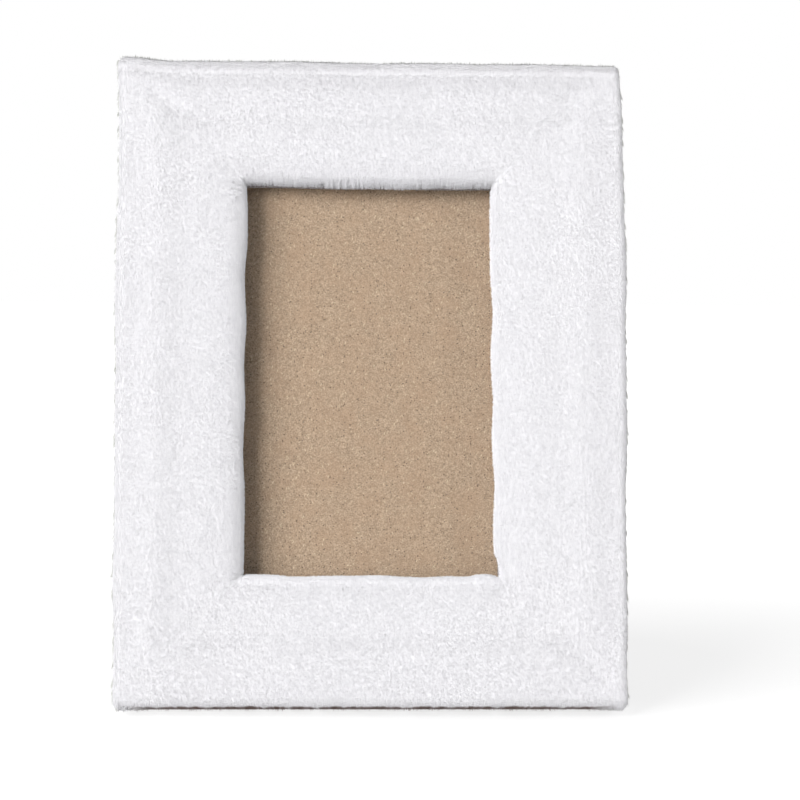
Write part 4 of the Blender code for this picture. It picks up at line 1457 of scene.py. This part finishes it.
@dataclass(frozen=True)
class PanScrew:
    """A domed screw with a cross recess, about its own axis, with its seat at level 0 and its head above."""

    head_radius: float = 2.6 * MM
    head_height: float = 1.3 * MM
    dome: float = 2.4
    shank_radius: float = 1.2 * MM
    pitch: float = 0.8 * MM
    thread_depth: float = 0.25 * MM
    recess_reach: float = 1.5 * MM
    recess_half_width: float = 0.33 * MM
    recess_wall: float = 0.12 * MM
    recess_depth: float = 0.85 * MM
    pip: float = 0.04 * MM
    steps: int = 96

    def head_level(self, places: np.ndarray, turn: float) -> np.ndarray:
        """Gives the level of the head's surface, with the recess sunk into it.

        Args:
            places: Points, of which x and z count.
            turn: How far the recess is turned, in radians.

        Returns:
            The level at each point.
        """
        x, z = places[:, 0], places[:, 2]
        radius = np.hypot(x, z)
        level = self.head_height * (1 - part_way(radius, self.head_radius) ** self.dome) ** (1 / self.dome)
        along, aside = x * math.cos(turn) + z * math.sin(turn), z * math.cos(turn) - x * math.sin(turn)
        arms = [
            part_way(self.recess_half_width - np.abs(width), self.recess_wall)
            * part_way(self.recess_reach - np.abs(length), self.recess_wall)
            for length, width in ((along, aside), (aside, along))
        ]
        return level - np.maximum(*arms) * self.recess_depth * (1 - 0.4 * radius / self.recess_reach)

    def mesh(self, name: str, length: float, turn: float) -> bpy.types.Mesh:
        """Builds the screw.

        Args:
            name: The mesh's name.
            length: How far its shank reaches under its seat.
            turn: How far its recess is turned, in radians.

        Returns:
            The mesh.
        """
        rings = []
        inner = np.linspace(self.pip, self.recess_reach + 0.1 * MM, 24)
        outer = self.head_radius * np.sin(np.linspace(0.66, QUARTER_TURN, 14))
        for radius in (*inner, *outer[outer > inner[-1]]):
            placed = ring(radius, 0.0, self.steps)
            placed[:, 1] = self.head_level(placed, turn)
            rings.append(placed)
        shank, root = self.shank_radius, self.shank_radius - self.thread_depth
        threads = np.arange(self.pitch, length - shank, self.pitch / 2)
        profile = [(shank, 0.0)]
        profile += [(root if number % 2 else shank, -level) for number, level in enumerate(threads)]
        profile += [(root, shank - length), (0.3 * shank, -length)]
        return turned_mesh(name, rings + [ring(radius, level, self.steps) for radius, level in profile])


@dataclass(frozen=True)
class TubularRivet:
    """A rivet with a dimpled head at its back and a rolled, hollow end at its front."""

    head_radius: float = 2.7 * MM
    head_height: float = 1.0 * MM
    dimple: tuple[float, float] = (0.75 * MM, 0.2 * MM)
    shank_radius: float = 1.3 * MM
    flare_radius: float = 2.2 * MM
    flare_depth: float = 0.8 * MM
    hole_radius: float = 0.9 * MM
    hole_depth: float = 1.8 * MM
    pip: float = 0.04 * MM
    steps: int = 72

    def mesh(self, name: str, grip: float) -> bpy.types.Mesh:
        """Builds the rivet.

        Args:
            name: The mesh's name.
            grip: The distance from its front end, at level 0, to the seat of its head.

        Returns:
            The mesh.
        """
        wide, deep = self.dimple
        profile = []
        for radius in self.head_radius * np.sin(np.linspace(0.02, QUARTER_TURN, 26)):
            dome = self.head_height * math.sqrt(max(0.0, 1 - (radius / self.head_radius) ** 2))
            profile.append((radius, grip + dome - deep * math.exp(-((radius / wide) ** 2))))
        profile += [(self.shank_radius, grip), (self.shank_radius, self.flare_depth)]
        middle = (self.flare_radius + self.hole_radius) / 2
        half = (self.flare_radius - self.hole_radius) / 2
        for angle in np.linspace(0.0, math.pi, 14):
            profile.append((middle + half * math.cos(angle), self.flare_depth * (1 - math.sin(angle))))
        profile += [(self.hole_radius, self.hole_depth), (self.pip, self.hole_depth)]
        return turned_mesh(name, [ring(radius, level, self.steps) for radius, level in profile])


@dataclass
class Hardware:
    """The strut hinge, the turn-buttons and their fasteners."""

    axes: FaceAxes
    edge: float = 0.12 * MM
    screw: PanScrew = PanScrew()
    rivet: TubularRivet = TubularRivet()
    recess_turns: tuple[float, ...] = (14.0, -31.0, 52.0, 7.0, -18.0, 37.0)

    def put_screw(self, node: str, turn: float, steel: bpy.types.Material) -> None:
        """Puts a detailed screw in the place of a CAD one.

        Args:
            node: The CAD node's name.
            turn: How far its recess is turned, in degrees.
            steel: The finish.
        """
        low, high = self.axes.box(node)
        level = high[1] - self.screw.head_height
        name = node.replace("screw", "cross_screw")
        mesh = self.screw.mesh(name, level - low[1], math.radians(turn))
        place = self.axes.matrix(((low[0] + high[0]) / 2, level, (low[2] + high[2]) / 2))
        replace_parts(add_piece(name, mesh, steel, "frame", place), node)

    def put_rivet(self, node: str, axes: FaceAxes, steel: bpy.types.Material) -> None:
        """Puts a detailed rivet in the place of a CAD one.

        Args:
            node: The CAD node's name.
            axes: The axes of the leg.
            steel: The finish.
        """
        low, high = axes.box(node)
        name = node.replace("rivet", "tubular_rivet")
        mesh = self.rivet.mesh(name, high[1] - low[1] - self.rivet.head_height)
        place = axes.matrix(((low[0] + high[0]) / 2, low[1], (low[2] + high[2]) / 2))
        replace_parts(add_piece(name, mesh, steel, "leg", place), node)

    def build(self) -> None:
        """Dresses the hinge and the turn-buttons, and builds their fasteners."""
        steel = SteelFinish().material()
        names = sorted(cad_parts)
        for node, turn in zip((name for name in names if "screw" in name), self.recess_turns):
            self.put_screw(node, turn, steel)
        leg = FaceAxes.measured(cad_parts["easel_leg"])
        for side in ("left", "right"):
            self.put_rivet(f"leg_rivet_{side}", leg, steel)
        for name in names:
            if name.startswith(("turn_button", "hinge_upper", "hinge_lower", "hinge_pin")):
                dress(name, steel, self.edge)


# Studio

def towards(azimuth: float, elevation: float) -> Vector:
    """Gives the direction from the frame to a place at an azimuth and an elevation, in degrees."""
    angle, rise = math.radians(azimuth), math.radians(elevation)
    return Vector((math.sin(angle) * math.cos(rise), -math.cos(angle) * math.cos(rise), math.sin(rise)))


@dataclass(frozen=True)
class Softbox:
    """A square soft lamp that looks at the frame."""

    name: str
    azimuth: float
    elevation: float
    distance: float
    size: float
    brightness: float

    def build(self, target: Vector) -> None:
        """Adds the lamp.

        Args:
            target: The point that it looks at.
        """
        back = towards(self.azimuth, self.elevation)
        data = bpy.data.lights.new(self.name, "AREA")
        data.shape, data.size = "SQUARE", self.size
        data.energy = self.brightness * (math.pi * self.distance) ** 2
        lamp = bpy.data.objects.new(self.name, data)
        lamp.location = target + back * self.distance
        lamp.rotation_euler = back.to_track_quat("Z", "Y").to_euler()
        bpy.context.scene.collection.objects.link(lamp)
        LOG.info("%s: %.1f W at %.2f m", self.name, data.energy, self.distance)


@dataclass
class Studio:
    """The white floor, the lamps and the sky."""

    target: Vector
    floor_size: float = 6.0
    floor_colour: Colour = (0.86, 0.86, 0.86)
    clear_middle: tuple[float, float, float] = (0.07, 0.05, 0.0)
    clear_ring: tuple[float, float] = (0.07, 0.36)
    seen_share: float = 0.36
    seen_glow: float = 0.74
    sky: float = 0.03
    sky_behind: float = 0.55
    lamps: tuple[Softbox, ...] = (
        Softbox("big_left", -46.0, 17.0, 5.0, 3.2, 1.075),
        Softbox("left", -30.0, 18.0, 5.0, 1.2, 0.20),
        Softbox("low_right", 69.0, 13.0, 3.0, 1.6, 0.54),
    )

    def floor_material(self) -> bpy.types.Material:
        """Builds the floor's finish: white where it is lit, and still darkened by shadows.

        Returns:
            The material.
        """
        shader = Shader("white_floor")
        shader.finish(Base_Color=self.floor_colour, Roughness=1.0, Specular_IOR_Level=0.0)
        thin = shader.add("BsdfDiffuse", {"Color": (self.seen_share,) * 3})
        ends = {0: shader.object_place(), 1: self.clear_middle}
        away = shader.add("VectorMath", ends, operation="DISTANCE")
        strength = shader.ranged(away.outputs["Value"], *self.clear_ring, self.seen_glow)
        glow = shader.add("Emission", {"Strength": strength})
        both = shader.add("AddShader", {0: thin.outputs["BSDF"], 1: glow.outputs["Emission"]})
        return shader.show(shader.choose(shader.seen(), shader.principled, both))

    def build_floor(self) -> None:
        """Adds the floor."""
        bm = bmesh.new()
        bmesh.ops.create_grid(bm, x_segments=1, y_segments=1, size=self.floor_size / 2)
        mesh = bpy.data.meshes.new("floor")
        bm.to_mesh(mesh)
        bm.free()
        mesh.materials.append(self.floor_material())
        floor = bpy.data.objects.new("floor", mesh)
        bpy.context.scene.collection.objects.link(floor)

    def build_sky(self) -> None:
        """Adds the sky: white where it is seen, and dimmer as a light."""
        world = bpy.data.worlds.new("studio")
        world.use_nodes = True
        bpy.context.scene.world = world
        tree = NodeTree(world.node_tree)
        tree.nodes.clear()
        parts = tree.add("SeparateXYZ", {"Vector": tree.add("TexCoord", {}).outputs["Generated"]})
        strength = tree.ranged(parts.outputs["Y"], -0.5, 0.5, self.sky, self.sky_behind)
        lights = tree.add("Background", {"Strength": strength})
        white = tree.add("Background", {"Color": (1.0, 1.0, 1.0)})
        tree.add("OutputWorld", {"Surface": tree.choose(tree.seen(), lights, white)})

    def build(self) -> None:
        """Builds the floor, the sky and the lamps."""
        self.build_floor()
        self.build_sky()
        for lamp in self.lamps:
            lamp.build(self.target)
        bpy.context.scene.view_settings.view_transform = "Standard"


@dataclass(frozen=True)
class PhotoCamera:
    """The camera, at the photograph's viewing angle."""

    azimuth: float = -2.08
    elevation: float = 4.92
    roll: float = 0.417
    distance: float = 0.876
    lens: float = 110.0
    target: tuple[float, float, float] = (0.0109, 0.0, 0.1062)

    def build(self) -> None:
        """Adds the camera and makes it the scene's."""
        back = towards(self.azimuth, self.elevation)
        data = bpy.data.cameras.new("camera")
        data.lens, data.sensor_width = self.lens, 36.0
        data.clip_start, data.clip_end = 0.05, 20.0
        camera = bpy.data.objects.new("camera", data)
        facing = back.to_track_quat("Z", "Y").to_matrix()
        rolled = facing @ Euler((0.0, 0.0, math.radians(self.roll))).to_matrix()
        camera.matrix_world = Matrix.Translation(Vector(self.target) + back * self.distance) @ rolled.to_4x4()
        bpy.context.scene.collection.objects.link(camera)
        bpy.context.scene.camera = camera


FRAME_AXES = FaceAxes.measured(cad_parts["back_board"])
LEAN_DEGREES = math.degrees(math.atan2(-FRAME_AXES.turn[2, 1], FRAME_AXES.turn[1, 1]))


def main() -> None:
    """Builds every part of the picture in order."""
    logging.basicConfig(level=logging.INFO, format="%(message)s")
    LOG.info("the frame leans back by %.1f degrees", LEAN_DEGREES)
    PhotoCamera().build()
    PlushCover(FRAME_AXES).build()
    Boards().build()
    Hardware(FRAME_AXES).build()
    middle = (Vector(PACKED_BOX[0]) + Vector(PACKED_BOX[1])) / 2
    Studio(middle).build()


if __name__ == "__main__":
    main()
